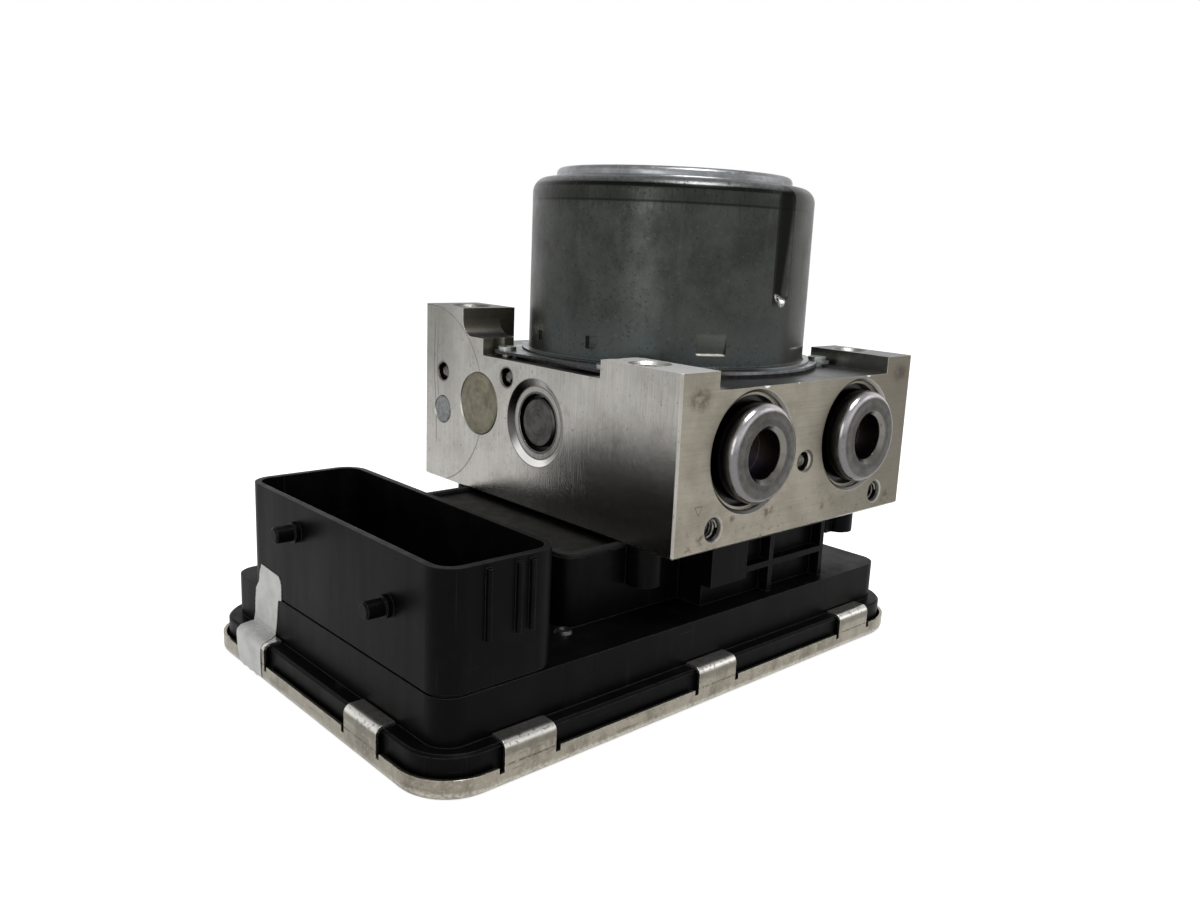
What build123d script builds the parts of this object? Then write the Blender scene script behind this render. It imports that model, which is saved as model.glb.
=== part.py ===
from build123d import *
import os
from math import acos, cos, radians, sin, tan

# Hydraulic brake modulator: a pump motor on an aluminium valve block on a moulded control unit.
# Millimetres. The datum of every size is the block's near lower corner: X runs along the front
# face, Y along the left face, Z up. place() moves the finished pieces to the part's own origin.

RUN_GAP = 0.05        # radial clearance of a running fit
SLIP_GAP = 0.3        # clearance between moulded or loosely assembled pieces

# ---------------------------------------------------------------- valve block
BLOCK_X = 97.3
BLOCK_Y = 106.8
FLOOR_Z = 39.8        # motor seat
LUG_Z = 44.5          # low port lugs and ledges
TALL_LUG_Z = 52.2     # rear port lugs
NEAR_LUG_X = 13.1
NEAR_LUG_Y = 27.9
RIGHT_LUG_X = 12.3
RIGHT_LUG_Y = 27.1
TALL_LUG_X = 18.4
TALL_LUG_Y = 19.3
LEDGE_Y = 29.3        # ledge plus tall lug, from the rear face
LEDGE_FILLET = 4.5
BLOCK_EDGE = 0.5      # machined edge break
MOTOR_X = 48.65       # motor and pump axis
MOTOR_Y = 53.4

# brake line ports in the lugs
PORT_R = 4.5          # M10 x 1 core
PORT_DEPTH = 14.0
PORT_MOUTH = 0.9
PORT_Y = 17.2
TALL_PORT_R = 5.5     # M12 x 1 core
TALL_PORT_DEPTH = 13.0
TALL_PORT_X = 9.2
TALL_PORT_BACK = 10.4  # from the rear face
REAR_PORT_X = 24.0    # from the block's middle
REAR_PORT_Z = 27.5

# bracket holes in the front face
BRACKET_R = 2.5       # M6 core
BRACKET_X = (14.2, 84.2)
BRACKET_Z = 5.3
BRACKET_DEPTH = 10.0
BRACKET_MOUTH = 0.9

# ---------------------------------------------------------------- accumulators
ACC_X = (27.4, 72.2)
ACC_Z = 23.3
SEAT_R = 15.1
SEAT_DEPTH = 5.0
SEAT_CHAMFER = 0.9
SEAT_STEP = 0.8       # the seat is stepped in by this much
SEAT_STEP_DEPTH = 1.7
ACC_BORE_R = 11.0
ACC_BORE_END = 24.0
CAP_R = 12.8
CAP_PROUD = 4.6
CAP_ROUND = 2.4
CAP_WALL = 1.2
CAP_RIM_T = 1.5
CUP_R = 6.3
CUP_DEPTH = 8.0
CUP_BEVEL = 1.2
ACC_PISTON_L = 8.0
ACC_PISTON_WALL = 1.3
ACC_PISTON_CROWN = 4.0
ACC_RING_W = 1.6
ACC_RING_T = 1.5
ACC_SPRING_R = 8.6
ACC_SPRING_WIRE = 1.8
ACC_SPRING_TURNS = 3.5

# ---------------------------------------------------------------- pump
PUMP_Z = 24.3
PUMP_MOUTH_R = 12.0
PUMP_RING_R = 10.0
PUMP_RING_DEPTH = 1.1
PUMP_BORE_R = 7.9
PUMP_BORE_DEPTH = 24.0
PLUG_FACE_R = 6.7
PLUG_FACE_DEPTH = 1.2
PLUG_SHOULDER_DEPTH = 3.2
PLUG_LENGTH = 6.0
SLEEVE_WALL = 2.6
SLEEVE_END = 1.0      # short of the bore's step
SLEEVE_FLOOR = 1.6
PISTON_R = 3.25
PISTON_L = 22.6
PISTON_HEAD_R = 4.9
PISTON_HEAD_T = 2.0
PUMP_SPRING_R = 3.9
PUMP_SPRING_WIRE = 0.9
PUMP_SPRING_TURNS = 4

# eccentric drive
SHAFT_R = 4.0
ECCENTRICITY = 1.0
CAM_R = 5.4
CAM_H = 9.0
CAM_RING_R = 8.0
CAM_CHAMBER_R = 12.5
CAM_CHAMBER_BELOW = 6.0   # below the pump axis
END_PIN_R = 3.0
END_BEARING_R = 5.6
END_BEARING_H = 4.6

# ---------------------------------------------------------------- closing plugs
BALL_R = 2.5
BALL_PLUG_L = 3.0
BALL_BORE_L = 12.0
BALL_SINK = 0.6
BALL_A_Y = 97.4
BALL_A_Z = 32.8
BALL_B_Y = 66.2
BALL_B_Z = 35.0
FRONT_BALL_Z = 18.4
DAMPER_R = 8.9
DAMPER_Y = 79.2
DAMPER_Z = 25.8
DAMPER_DEPTH = 20.0
DAMPER_PLUG_T = 4.0
CHAMBER_R = 4.05
CHAMBER_Y = 97.5
CHAMBER_Z = 21.4
CHAMBER_DEPTH = 15.0
CHAMBER_PLUG_T = 3.0
PLUG_SINK = 0.05

# ---------------------------------------------------------------- solenoid valves
VALVE_X0 = 10.0
VALVE_Y0 = 31.0
VALVE_PITCH_X = 21.0
VALVE_PITCH_Y = 20.5
VALVE_COLUMNS = 4
VALVE_ROWS = 3
VALVE_R = 6.0
VALVE_COLLAR = 6.0
VALVE_SEAT = 12.5
VALVE_STEM_R = 4.2
DOME_R = 3.2
DOME_H = 16.5
COIL_R = 8.5
COIL_H = 15.6
YOKE_WALL = 0.9
BOBBIN_WALL = 0.8
WINDING_BUILD = 2.7
TERMINAL_W = 0.9
TERMINAL_PITCH = 5.0
# stem end, tip radius and seal groove of each kind of cartridge
VALVE_KINDS = {"inlet": (11.0, 1.8, 8.6), "outlet": (9.6, 2.4, 7.4),
               "switching": (10.6, 2.8, 8.0), "suction": (10.0, 3.2, 7.8)}

# ---------------------------------------------------------------- motor
CAN_R = 40.3
CAN_WALL = 1.9
CAN_TOP = 89.9
CAN_ROUND = 4.2
CAN_LIP = 2.0         # foot flange beyond the can's wall
CAN_LIP_T = 0.5
CAN_LIP_ROUND = 0.4
DOME_SHOULDER = 6.6   # from the can's wall to the dome
DOME_TOP = 92.7
BASE_Z = 40.7
BASE_T = 0.8
BASE_EDGE = 4.1       # base plate beyond the can's wall
EAR_R = 3.6
EARS = ((-153.4, 3.8), (154.9, 3.2), (-47.0, 0.5))  # angle; screw beyond the plate's round edge
FLANKS = (-1, 1, 0)   # side of each ear that runs straight into the plate's edge
BASE_CLEAR = 0.5      # between the base plate and the lugs
DRIVER_R = 4.4        # room for the screwdriver at each ear
SEAL_W = 4.0
SEAL_INSET = 0.3      # seal inside the plate's edge
HUB_R = 15.9
HUB_DEPTH = 11.0
HUB_FLOOR = 1.2
FRONT_BEARING_R = 11.0
FRONT_BEARING_H = 7.0
REAR_BEARING_R = 8.0
REAR_BEARING_H = 5.0
CHANNEL_ANGLE = -87.0
CHANNEL_W = 6.8
CHANNEL_DEPTH = 2.5
CHANNEL_FOOT = 58.4
WINDOW_W = 8.2
WINDOW_H = 5.4
WINDOW_ANGLE = -118.6
WINDOW_Z = 48.2
PUNCH_DEPTH = 0.8
PUNCH_W = 3.8
PUNCH_H = 3.2
PUNCH_Z = 45.2
PUNCH_ANGLE = -164.6
NICK_W = 2.6
NICK_H = 2.7
NICK_DEPTH = 0.7
NICK_ANGLE = 164.5
MAGNET_T = 5.6
MAGNET_H = 32.0
MAGNET_Z = 54.0
MAGNET_SPAN = 70.0
AIR_GAP = 0.7
CORE_Z = 56.0
CORE_H = 26.0
CORE_SLOTS = 10
MAGNETS = 4
BRUSHES = 4
TOOTH_W = 6.0
SLOT_MOUTH = 2.0
TOOTH_TIP = 2.4
YOKE_R = 14.0
WINDING_DROP = 5.6    # end turns below the core's edge
WINDING_H = 4.4
COMMUTATOR_R = 11.0
COMMUTATOR_Z = 43.6
COMMUTATOR_H = 6.6
BRUSH_W = 6.0
BRUSH_H = 5.0
BRUSH_L = 10.0
BRUSH_Z = 44.4
BRUSH_SPRING_L = 6.0
BRUSH_SPRING_R = 1.8
BRUSH_SPRING_WIRE = 0.5
BRUSH_SPRING_TURNS = 3
HOLDER_T = 1.6
HOLDER_EDGE = 2.4     # between the brush plate and the can
HOLDER_CLEAR = 2.0
HOLDER_BOX_WALL = 1.2
CONTACT_X = 20.5
CONTACT_Y = 41.25
CONTACT_R = 2.8
CONTACT_PIN = 1.0
CONTACT_PITCH = 2.6
CONTACT_FLANGE = 1.2
CONTACT_TIP = 1.4
MOTOR_SCREW_R = 1.5
MOTOR_SCREW_L = 6.4
MOTOR_HEAD_R = 2.6
MOTOR_HEAD_H = 1.1

# ---------------------------------------------------------------- control unit
SHEET = 0.8           # cover plate thickness
PLATE_X0 = -67.8
PLATE_X1 = 99.6
PLATE_Y0 = -3.3
PLATE_Y1 = 108.0
PLATE_CORNER = 13.0
PLATE_Z = -39.0
RIM_Z = -33.9
RIM_BEND = 2.2
PLATE_GAP = 0.75      # between the rim and the housing flange
TAB_W = 13.6
TAB_PITCH_X = 59.2
TAB_PITCH_Y = 54.4
TAB_LIP = 4.9
TAB_NOTCH = 1.4
TAB_BEND = 1.9
SEAL_T = 0.8
SEAL_BAND = 2.4
FLANGE_TOP = -29.3
FLANGE_EDGE = 0.6
BOX_INSET = 3.75
BOX_TOP = -18.4
BOX_CORNER = 6.0
WALL = 2.4
GASKET_T = 0.9
GASKET_W = 2.2
TOWER_X0 = -18.3
TOWER_X1 = 86.0
TOWER_Y0 = 16.8
TOWER_Y1 = 85.6
TOWER_CORNER = 4.0
SHROUD_W = 30.6
SHROUD_L = 90.0
SHROUD_TOP = 9.1
SHROUD_WALL = 1.6
SHROUD_FLOOR = -16.0
SEAM = 0.6
PEG_R = 2.0
PEG_L = 5.9
PEG_COLLAR_R = 2.6
PEG_COLLAR_L = 1.4
PEGS = ((64.1, 1.9), (22.3, -3.8))
KEY_RIBS_X = (-51.4, -43.8, -40.3)
KEY_RIB_W = 1.3
KEY_RIB_D = 1.2
KEY_RIB_TOP = 8.0
KEY_RIB_FOOT = -7.6
EAR_BOSS_R = 4.6
EAR_BOSS_H = 10.5
EAR_SEAT = 2.0
EAR_POINTS = ((5.1, 14.3), (89.3, 15.1), (5.1, 88.1), (89.3, 87.3))
SCREW_R = 2.0
SCREW_HEAD_R = 3.1
SCREW_HEAD_H = 2.2
SCREW_GRIP = 3.6
LATTICE_X0 = 20.7
LATTICE_X1 = 68.6
LATTICE_Y = 5.2
LATTICE_BACK = 8.5
LATTICE_TIE = 0.5      # overlap with the tower wall
COLUMN_W = 13.8
COLUMN_FOOT = -12.7
LATTICE_RIBS_X = (44.0, 67.0)
LATTICE_RIB = 1.6
LATTICE_SHELF_Z = -9.5
BOARD_GAP = 0.6
POST_R = 2.4
BOARD_T = 1.6
BOARD_Z = -35.6
CARRIER_T = 2.0
CAPACITOR_R = 4.0
CAPACITOR_H = 10.0
CAPACITORS = ((-26.0, 24.0), (-26.0, 36.0), (-26.0, 48.0))
UPPER_PARTS = ((-26.0, 66.0, 10.0, 10.0, 7.0), (88.0, 40.0, 6.0, 12.0, 4.0))
LOWER_PARTS = ((10.0, 61.7, 20.0, 16.0, 1.6), (41.5, 41.2, 16.0, 14.0, 1.6),
               (41.5, 61.7, 10.0, 8.0, 1.4), (66.0, 61.7, 12.0, 12.0, 1.6))
PIN_ROWS = 3
PIN_COLUMNS = 13
PIN_PITCH = 4.8
PIN_ROW_PITCH = 7.0
PIN_W = 1.0
PIN_H = 9.0
PIN_TAIL = 0.6       # below the board
POWER_W = 4.8
POWER_T = 0.8
POWER_ZONE = 14.0     # rear part of the connector that holds the blades
RIVET_X = -19.0
RIVET_Y = 16.1
RIVET_R = 2.3
RIVET_H = 0.8

# ---------------------------------------------------------------- worked-out places
BOX_EDGE = SHEET + PLATE_GAP + BOX_INSET
BOX_X0 = PLATE_X0 + BOX_EDGE
BOX_Y0 = PLATE_Y0 + BOX_EDGE
TOWER_TOP = -GASKET_T
CHAMBER_TOP = TOWER_TOP - WALL
FLANGE_FOOT = PLATE_Z + SHEET + SEAL_T
BOARD_TOP = BOARD_Z + BOARD_T
COIL_FOOT = CHAMBER_TOP - COIL_H
CAN_FOOT = BASE_Z + BASE_T
BASE_R = CAN_R + BASE_EDGE
CLEAR_R = BASE_R + BASE_CLEAR
DOME_DISC_R = CAN_R - DOME_SHOULDER
MAGNET_OUT = CAN_R - CAN_WALL
CORE_R = MAGNET_OUT - MAGNET_T - AIR_GAP
CAM_CENTRE = (MOTOR_X, MOTOR_Y + ECCENTRICITY)
SLEEVE_R = PUMP_BORE_R - SLEEVE_WALL
PLUG_END = PLUG_FACE_DEPTH + PLUG_LENGTH
SIDES = {"left": -1, "right": 1}
VALVES = [(VALVE_X0 + i * VALVE_PITCH_X, VALVE_Y0 + j * VALVE_PITCH_Y)
          for j in range(VALVE_ROWS) for i in range(VALVE_COLUMNS)]
PEG_TIP = BOX_X0 - PEG_L
PLATE_MID = ((PLATE_X0 + PLATE_X1) / 2, (PLATE_Y0 + PLATE_Y1) / 2)
FLANGE_INSET = SHEET + PLATE_GAP
FLANGE_CORNER = PLATE_CORNER - FLANGE_INSET
BOX_CEILING = BOX_TOP - WALL
SHROUD_X1 = BOX_X0 + SHROUD_W
SHROUD_Y1 = BOX_Y0 + SHROUD_L
END_BEARING_Z = PUMP_Z - CAM_CHAMBER_BELOW - END_BEARING_H
HUB_FOOT = BASE_Z - HUB_DEPTH
BEARING_Z = HUB_FOOT + HUB_FLOOR
REAR_BEARING_Z = DOME_TOP - CAN_WALL - REAR_BEARING_H
BOBBIN_BORE = DOME_R + SLIP_GAP
BOBBIN_R = BOBBIN_BORE + BOBBIN_WALL
CAP_FACE = -CAP_PROUD
CUP_FLOOR = CAP_FACE + CUP_DEPTH
ORIGIN = ((PEG_TIP + PLATE_X1) / 2, (PLATE_Y1 - CAP_PROUD) / 2, PLATE_Z)


# ---------------------------------------------------------------- small helpers
def box(x0, x1, y0, y1, z0, z1):
    """A box between six planes."""
    return Pos((x0 + x1) / 2, (y0 + y1) / 2, (z0 + z1) / 2) * Box(x1 - x0, y1 - y0, z1 - z0)


def slab(x0, x1, y0, y1, corner, z0, z1):
    """A box with rounded upright corners."""
    outline = Pos((x0 + x1) / 2, (y0 + y1) / 2) * RectangleRounded(x1 - x0, y1 - y0, corner)
    return Pos(0, 0, z0) * extrude(outline, z1 - z0)


def rod(x, y, radius, z0, z1):
    """An upright cylinder."""
    return Pos(x, y, (z0 + z1) / 2) * Cylinder(radius, z1 - z0)


def ring(x, y, outer, inner, z0, z1):
    """An upright tube."""
    return rod(x, y, outer, z0, z1) - rod(x, y, inner, z0 - 1, z1 + 1)


def turned(*points):
    """A turned piece from its (radius, height) profile, about the Z axis."""
    return revolve(Plane.XZ * make_face(Polyline(*points, close=True)), Axis.Z)


def rounded(section, corners):
    """Round the named corners of a flat section."""
    for (x, y), radius in corners:
        picked = [v for v in section.vertices() if abs(v.X - x) + abs(v.Y - y) < 0.01]
        section = fillet(picked, radius)
    return section


def inward(piece, side, y, z):
    """Put a turned piece on a side face, its height running into the block."""
    face = 0 if side < 0 else BLOCK_X
    return Pos(face, y, z) * Rot(0, -90 * side, 0) * piece


def from_front(piece, x, z):
    """Put a turned piece on the front face, its height running into the block."""
    return Pos(x, 0, z) * Rot(-90, 0, 0) * piece


def from_rear(piece, x, z):
    """Put a turned piece on the rear face, its height running into the block."""
    return Pos(x, BLOCK_Y, z) * Rot(90, 0, 0) * piece


def about_motor(piece, angle):
    """Turn a piece made at +X about the motor axis."""
    return Pos(MOTOR_X, MOTOR_Y) * Rot(0, 0, angle) * piece


def coil_spring(mean_r, wire, turns, length):
    """A round-wire spring standing on z = 0."""
    lift = length - wire
    line = Helix(lift / turns, lift, mean_r)
    wire_face = Plane(origin=line @ 0, z_dir=line % 0) * Circle(wire / 2)
    return Pos(0, 0, wire / 2) * sweep(wire_face, path=line, is_frenet=True)


def hole_tool(radius, depth, mouth):
    """A drilled hole with a bevelled mouth and a drill point."""
    return turned((0, -1), (radius + mouth + 1, -1), (radius, mouth), (radius, depth),
                  (0, depth + radius * 0.5))


# ---------------------------------------------------------------- valve block
def rear_lug(side):
    """Tall rear lug with its ledge and the blend between them."""
    front = BLOCK_Y - TALL_LUG_Y
    ledge = BLOCK_Y - LEDGE_Y
    profile = Polyline((BLOCK_Y, 0), (BLOCK_Y, TALL_LUG_Z), (front, TALL_LUG_Z),
                       (front, LUG_Z), (ledge, LUG_Z), (ledge, 0), close=True)
    section = rounded(make_face(profile), (((front, LUG_Z), LEDGE_FILLET),))
    lug = extrude(Plane.YZ * section, TALL_LUG_X)
    lug -= box(NEAR_LUG_X, TALL_LUG_X + 1, 0, front, FLOOR_Z, TALL_LUG_Z)
    if side > 0:
        lug = Pos(BLOCK_X, 0, 0) * mirror(lug, about=Plane.YZ)
    return lug


def pump_bore(side):
    """Stepped bore from the side face to the eccentric chamber."""
    reach = (MOTOR_X if side < 0 else BLOCK_X - MOTOR_X) - CAM_CHAMBER_R + 2
    guide = PISTON_R + RUN_GAP
    flare = (PUMP_MOUTH_R - PUMP_RING_R) / PUMP_RING_DEPTH
    tool = turned((0, -1), (PUMP_MOUTH_R + flare, -1), (PUMP_RING_R, PUMP_RING_DEPTH),
                  (PUMP_BORE_R, PUMP_RING_DEPTH), (PUMP_BORE_R, PUMP_BORE_DEPTH),
                  (guide, PUMP_BORE_DEPTH), (guide, reach), (0, reach))
    return inward(tool, side, MOTOR_Y, PUMP_Z)


def accumulator_bore(x):
    """Seat, bevel and piston bore of one low-pressure accumulator."""
    tool = turned((0, -1), (SEAT_R + SEAT_CHAMFER + 1, -1), (SEAT_R, SEAT_CHAMFER),
                  (SEAT_R, SEAT_STEP_DEPTH), (SEAT_R - SEAT_STEP, SEAT_STEP_DEPTH),
                  (SEAT_R - SEAT_STEP, SEAT_DEPTH), (ACC_BORE_R, SEAT_DEPTH),
                  (ACC_BORE_R, ACC_BORE_END), (0, ACC_BORE_END))
    return from_front(tool, x, ACC_Z)


def valve_bore(x, y):
    """Stepped bore in the mounting face for one valve cartridge."""
    return rod(x, y, VALVE_R, -1, VALVE_COLLAR) + rod(x, y, VALVE_STEM_R, -1, VALVE_SEAT)


def valve_block():
    body = box(0, BLOCK_X, 0, BLOCK_Y, 0, FLOOR_Z)
    body += box(0, NEAR_LUG_X, 0, NEAR_LUG_Y, 0, LUG_Z)
    body += box(BLOCK_X - RIGHT_LUG_X, BLOCK_X, 0, RIGHT_LUG_Y, 0, LUG_Z)
    for side in SIDES.values():
        body += rear_lug(side)
    corners = [e for e in body.edges().filter_by(Axis.Z)
               if min(abs(e.center().X), abs(e.center().X - BLOCK_X)) < 0.01
               and min(abs(e.center().Y), abs(e.center().Y - BLOCK_Y)) < 0.01]
    foot = body.faces().sort_by(Axis.Z)[0].edges()
    body = chamfer(corners + list(foot), BLOCK_EDGE)
    body -= rod(MOTOR_X, MOTOR_Y, CLEAR_R, FLOOR_Z, TALL_LUG_Z + 1)
    hub_foot = BASE_Z - HUB_DEPTH - SLIP_GAP
    body -= rod(MOTOR_X, MOTOR_Y, HUB_R, hub_foot, FLOOR_Z + 1)
    body -= rod(MOTOR_X, MOTOR_Y, CAM_CHAMBER_R, PUMP_Z - CAM_CHAMBER_BELOW, hub_foot + 1)
    body -= rod(MOTOR_X, MOTOR_Y, END_BEARING_R, END_BEARING_Z, PUMP_Z)
    for side in SIDES.values():
        body -= pump_bore(side)
        for y, z in ((BALL_A_Y, BALL_A_Z), (BALL_B_Y, BALL_B_Z)):
            body -= inward(hole_tool(BALL_R, BALL_BORE_L, 0.3), side, y, z)
        body -= inward(hole_tool(DAMPER_R, DAMPER_DEPTH, 0.3), side, DAMPER_Y, DAMPER_Z)
        body -= inward(hole_tool(CHAMBER_R, CHAMBER_DEPTH, 0.3), side, CHAMBER_Y, CHAMBER_Z)
        x = TALL_PORT_X if side < 0 else BLOCK_X - TALL_PORT_X
        port = hole_tool(TALL_PORT_R, TALL_PORT_DEPTH, PORT_MOUTH)
        body -= Pos(x, BLOCK_Y - TALL_PORT_BACK, TALL_LUG_Z) * Rot(180, 0, 0) * port
        rear = hole_tool(PORT_R, PORT_DEPTH, PORT_MOUTH)
        body -= from_rear(rear, MOTOR_X + side * REAR_PORT_X, REAR_PORT_Z)
    for x in (NEAR_LUG_X / 2, BLOCK_X - RIGHT_LUG_X / 2):
        body -= Pos(x, PORT_Y, LUG_Z) * Rot(180, 0, 0) * hole_tool(PORT_R, PORT_DEPTH, PORT_MOUTH)
    for x in ACC_X:
        body -= accumulator_bore(x)
    for x in BRACKET_X:
        body -= from_front(hole_tool(BRACKET_R, BRACKET_DEPTH, BRACKET_MOUTH), x, BRACKET_Z)
    body -= from_front(hole_tool(BALL_R, BALL_BORE_L, 0.3), MOTOR_X, FRONT_BALL_Z)
    for x, y in VALVES:
        body -= valve_bore(x, y)
    body -= rod(CONTACT_X, CONTACT_Y, CONTACT_R + SLIP_GAP, -1, FLOOR_Z + 1)
    for x, y in EAR_POINTS:
        body -= rod(x, y, SCREW_R, -1, SCREW_GRIP + 1)
    for x, y in motor_ears():
        body -= rod(x, y, MOTOR_SCREW_R, CAN_FOOT - MOTOR_SCREW_L - SLIP_GAP, FLOOR_Z + 1)
        body -= rod(x, y, DRIVER_R, FLOOR_Z, TALL_LUG_Z + 1)
    return body


def ball_plugs():
    """Staked closing plugs of the drilled passages."""
    plug = turned((0, BALL_SINK), (BALL_R * 0.45, BALL_SINK + 0.1), (BALL_R * 0.8, BALL_SINK + 0.6),
                  (BALL_R, BALL_SINK + 0.9), (BALL_R, BALL_SINK + BALL_PLUG_L),
                  (0, BALL_SINK + BALL_PLUG_L))
    plugs = [from_front(plug, MOTOR_X, FRONT_BALL_Z)]
    for side in SIDES.values():
        for y, z in ((BALL_A_Y, BALL_A_Z), (BALL_B_Y, BALL_B_Z)):
            plugs.append(inward(plug, side, y, z))
    return Compound(plugs)


def flat_plugs(radius, thickness, y, z):
    """Pressed aluminium discs that close a chamber on both side faces."""
    edge = 0.3
    disc = turned((0, PLUG_SINK), (radius - edge, PLUG_SINK), (radius, PLUG_SINK + edge),
                  (radius, thickness), (0, thickness))
    return Compound([inward(disc, side, y, z) for side in SIDES.values()])


# ---------------------------------------------------------------- valves and pump
def cartridge(stem, tip_r, groove):
    """One sealed solenoid cartridge: dome below the face, collar and stem in the bore."""
    collar_r = VALVE_R - RUN_GAP
    stem_r = VALVE_STEM_R - RUN_GAP
    body = turned((0, -DOME_H), (DOME_R * 0.6, -DOME_H), (DOME_R, -DOME_H + DOME_R * 0.4),
                  (DOME_R, 0.2), (collar_r - 0.6, 0.2), (collar_r, 0.8), (collar_r, VALVE_COLLAR),
                  (stem_r, VALVE_COLLAR), (stem_r, stem), (tip_r, stem + 0.6),
                  (tip_r, VALVE_SEAT - SLIP_GAP), (0, VALVE_SEAT - SLIP_GAP))
    return body - ring(0, 0, VALVE_R, stem_r - 0.7, groove, groove + 1.2)


def valves(kind):
    """All cartridges of one kind; the rows hold inlet, outlet and pump-side valves."""
    body = cartridge(*VALVE_KINDS[kind])
    row = {"inlet": VALVES[0:4], "outlet": VALVES[4:8], "switching": VALVES[8:12:3],
           "suction": VALVES[9:11]}[kind]
    return Compound([Pos(x, y) * body for x, y in row])


def side_depth(side):
    """Depth of the motor axis from a side face."""
    return MOTOR_X if side < 0 else BLOCK_X - MOTOR_X


def pump_plug(side):
    outer = PUMP_BORE_R - RUN_GAP
    plug = turned((0, PLUG_FACE_DEPTH), (PLUG_FACE_R - 0.5, PLUG_FACE_DEPTH),
                  (PLUG_FACE_R, PLUG_FACE_DEPTH + 0.5), (PLUG_FACE_R, PLUG_SHOULDER_DEPTH),
                  (outer, PLUG_SHOULDER_DEPTH), (outer, PLUG_END), (0, PLUG_END))
    return inward(plug, side, MOTOR_Y, PUMP_Z)


def pump_sleeve(side):
    outer = PUMP_BORE_R - RUN_GAP
    end = PUMP_BORE_DEPTH - SLEEVE_END
    sleeve = turned((0, PLUG_END), (outer, PLUG_END), (outer, end), (SLEEVE_R, end),
                    (SLEEVE_R, PLUG_END + SLEEVE_FLOOR), (0, PLUG_END + SLEEVE_FLOOR))
    return inward(sleeve, side, MOTOR_Y, PUMP_Z)


def piston_head(side):
    """Depth of the piston's outer end, with the piston pushed out by the eccentric."""
    return side_depth(side) - CAM_RING_R - ECCENTRICITY - RUN_GAP - PISTON_L


def pump_piston(side):
    head = piston_head(side)
    tip = head + PISTON_L
    piston = turned((0, head), (PISTON_HEAD_R, head), (PISTON_HEAD_R, head + PISTON_HEAD_T),
                    (PISTON_R, head + PISTON_HEAD_T), (PISTON_R, tip - 0.5), (PISTON_R - 0.5, tip),
                    (0, tip))
    return inward(piston, side, MOTOR_Y, PUMP_Z)


def pump_spring(side):
    foot = PLUG_END + SLEEVE_FLOOR
    spring = coil_spring(PUMP_SPRING_R, PUMP_SPRING_WIRE, PUMP_SPRING_TURNS, piston_head(side) - foot)
    return inward(Pos(0, 0, foot) * spring, side, MOTOR_Y, PUMP_Z)


# ---------------------------------------------------------------- accumulators
def accumulator_cap(x):
    """Drawn steel cap with its rim on the seat and a cup pressed into its face."""
    rim = SEAT_R - SEAT_STEP - RUN_GAP
    outside = [(rim, SEAT_DEPTH), (rim, SEAT_DEPTH - CAP_RIM_T), (CAP_R, SEAT_DEPTH - CAP_RIM_T),
               (CAP_R, CAP_FACE), (CUP_R + CUP_BEVEL, CAP_FACE), (CUP_R, CAP_FACE + CUP_BEVEL),
               (CUP_R, CUP_FLOOR), (0, CUP_FLOOR)]
    inside = [(0, CUP_FLOOR + CAP_WALL), (CUP_R + CAP_WALL, CUP_FLOOR + CAP_WALL),
              (CUP_R + CAP_WALL, CAP_FACE + CAP_WALL), (CAP_R - CAP_WALL, CAP_FACE + CAP_WALL),
              (CAP_R - CAP_WALL, SEAT_DEPTH)]
    section = make_face(Polyline(*outside, *inside, close=True))
    section = rounded(section, (((CAP_R, CAP_FACE), CAP_ROUND),
                                ((CAP_R - CAP_WALL, CAP_FACE + CAP_WALL), CAP_ROUND - CAP_WALL)))
    return from_front(revolve(Plane.XZ * section, Axis.Z), x, ACC_Z)


def accumulator_piston(x):
    outer = ACC_BORE_R - RUN_GAP
    crown = ACC_BORE_END - ACC_PISTON_L
    seat = ACC_BORE_END - ACC_PISTON_CROWN
    groove = ACC_BORE_END - (ACC_PISTON_CROWN + ACC_RING_W) / 2
    piston = turned((0, ACC_BORE_END), (outer - 0.8, ACC_BORE_END), (outer, ACC_BORE_END - 0.8),
                    (outer, crown), (outer - ACC_PISTON_WALL, crown), (outer - ACC_PISTON_WALL, seat),
                    (0, seat))
    piston -= ring(0, 0, ACC_BORE_R + 1, ACC_BORE_R - ACC_RING_T, groove, groove + ACC_RING_W)
    return from_front(piston, x, ACC_Z)


def accumulator_ring(x):
    groove = ACC_BORE_END - (ACC_PISTON_CROWN + ACC_RING_W) / 2
    seal = ring(0, 0, ACC_BORE_R - 0.02, ACC_BORE_R - ACC_RING_T, groove, groove + ACC_RING_W)
    return from_front(seal, x, ACC_Z)


def accumulator_spring(x):
    foot = CAP_FACE + CAP_WALL
    length = ACC_BORE_END - ACC_PISTON_CROWN - foot
    spring = coil_spring(ACC_SPRING_R, ACC_SPRING_WIRE, ACC_SPRING_TURNS, length)
    return from_front(Pos(0, 0, foot) * spring, x, ACC_Z)


# ---------------------------------------------------------------- motor
def on_motor(angle, radius):
    """A point round the motor axis."""
    return (MOTOR_X + radius * cos(radians(angle)), MOTOR_Y + radius * sin(radians(angle)))


def motor_ears():
    """Screw points of the motor's base plate."""
    return [on_motor(angle, BASE_R + out) for angle, out in EARS]


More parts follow.
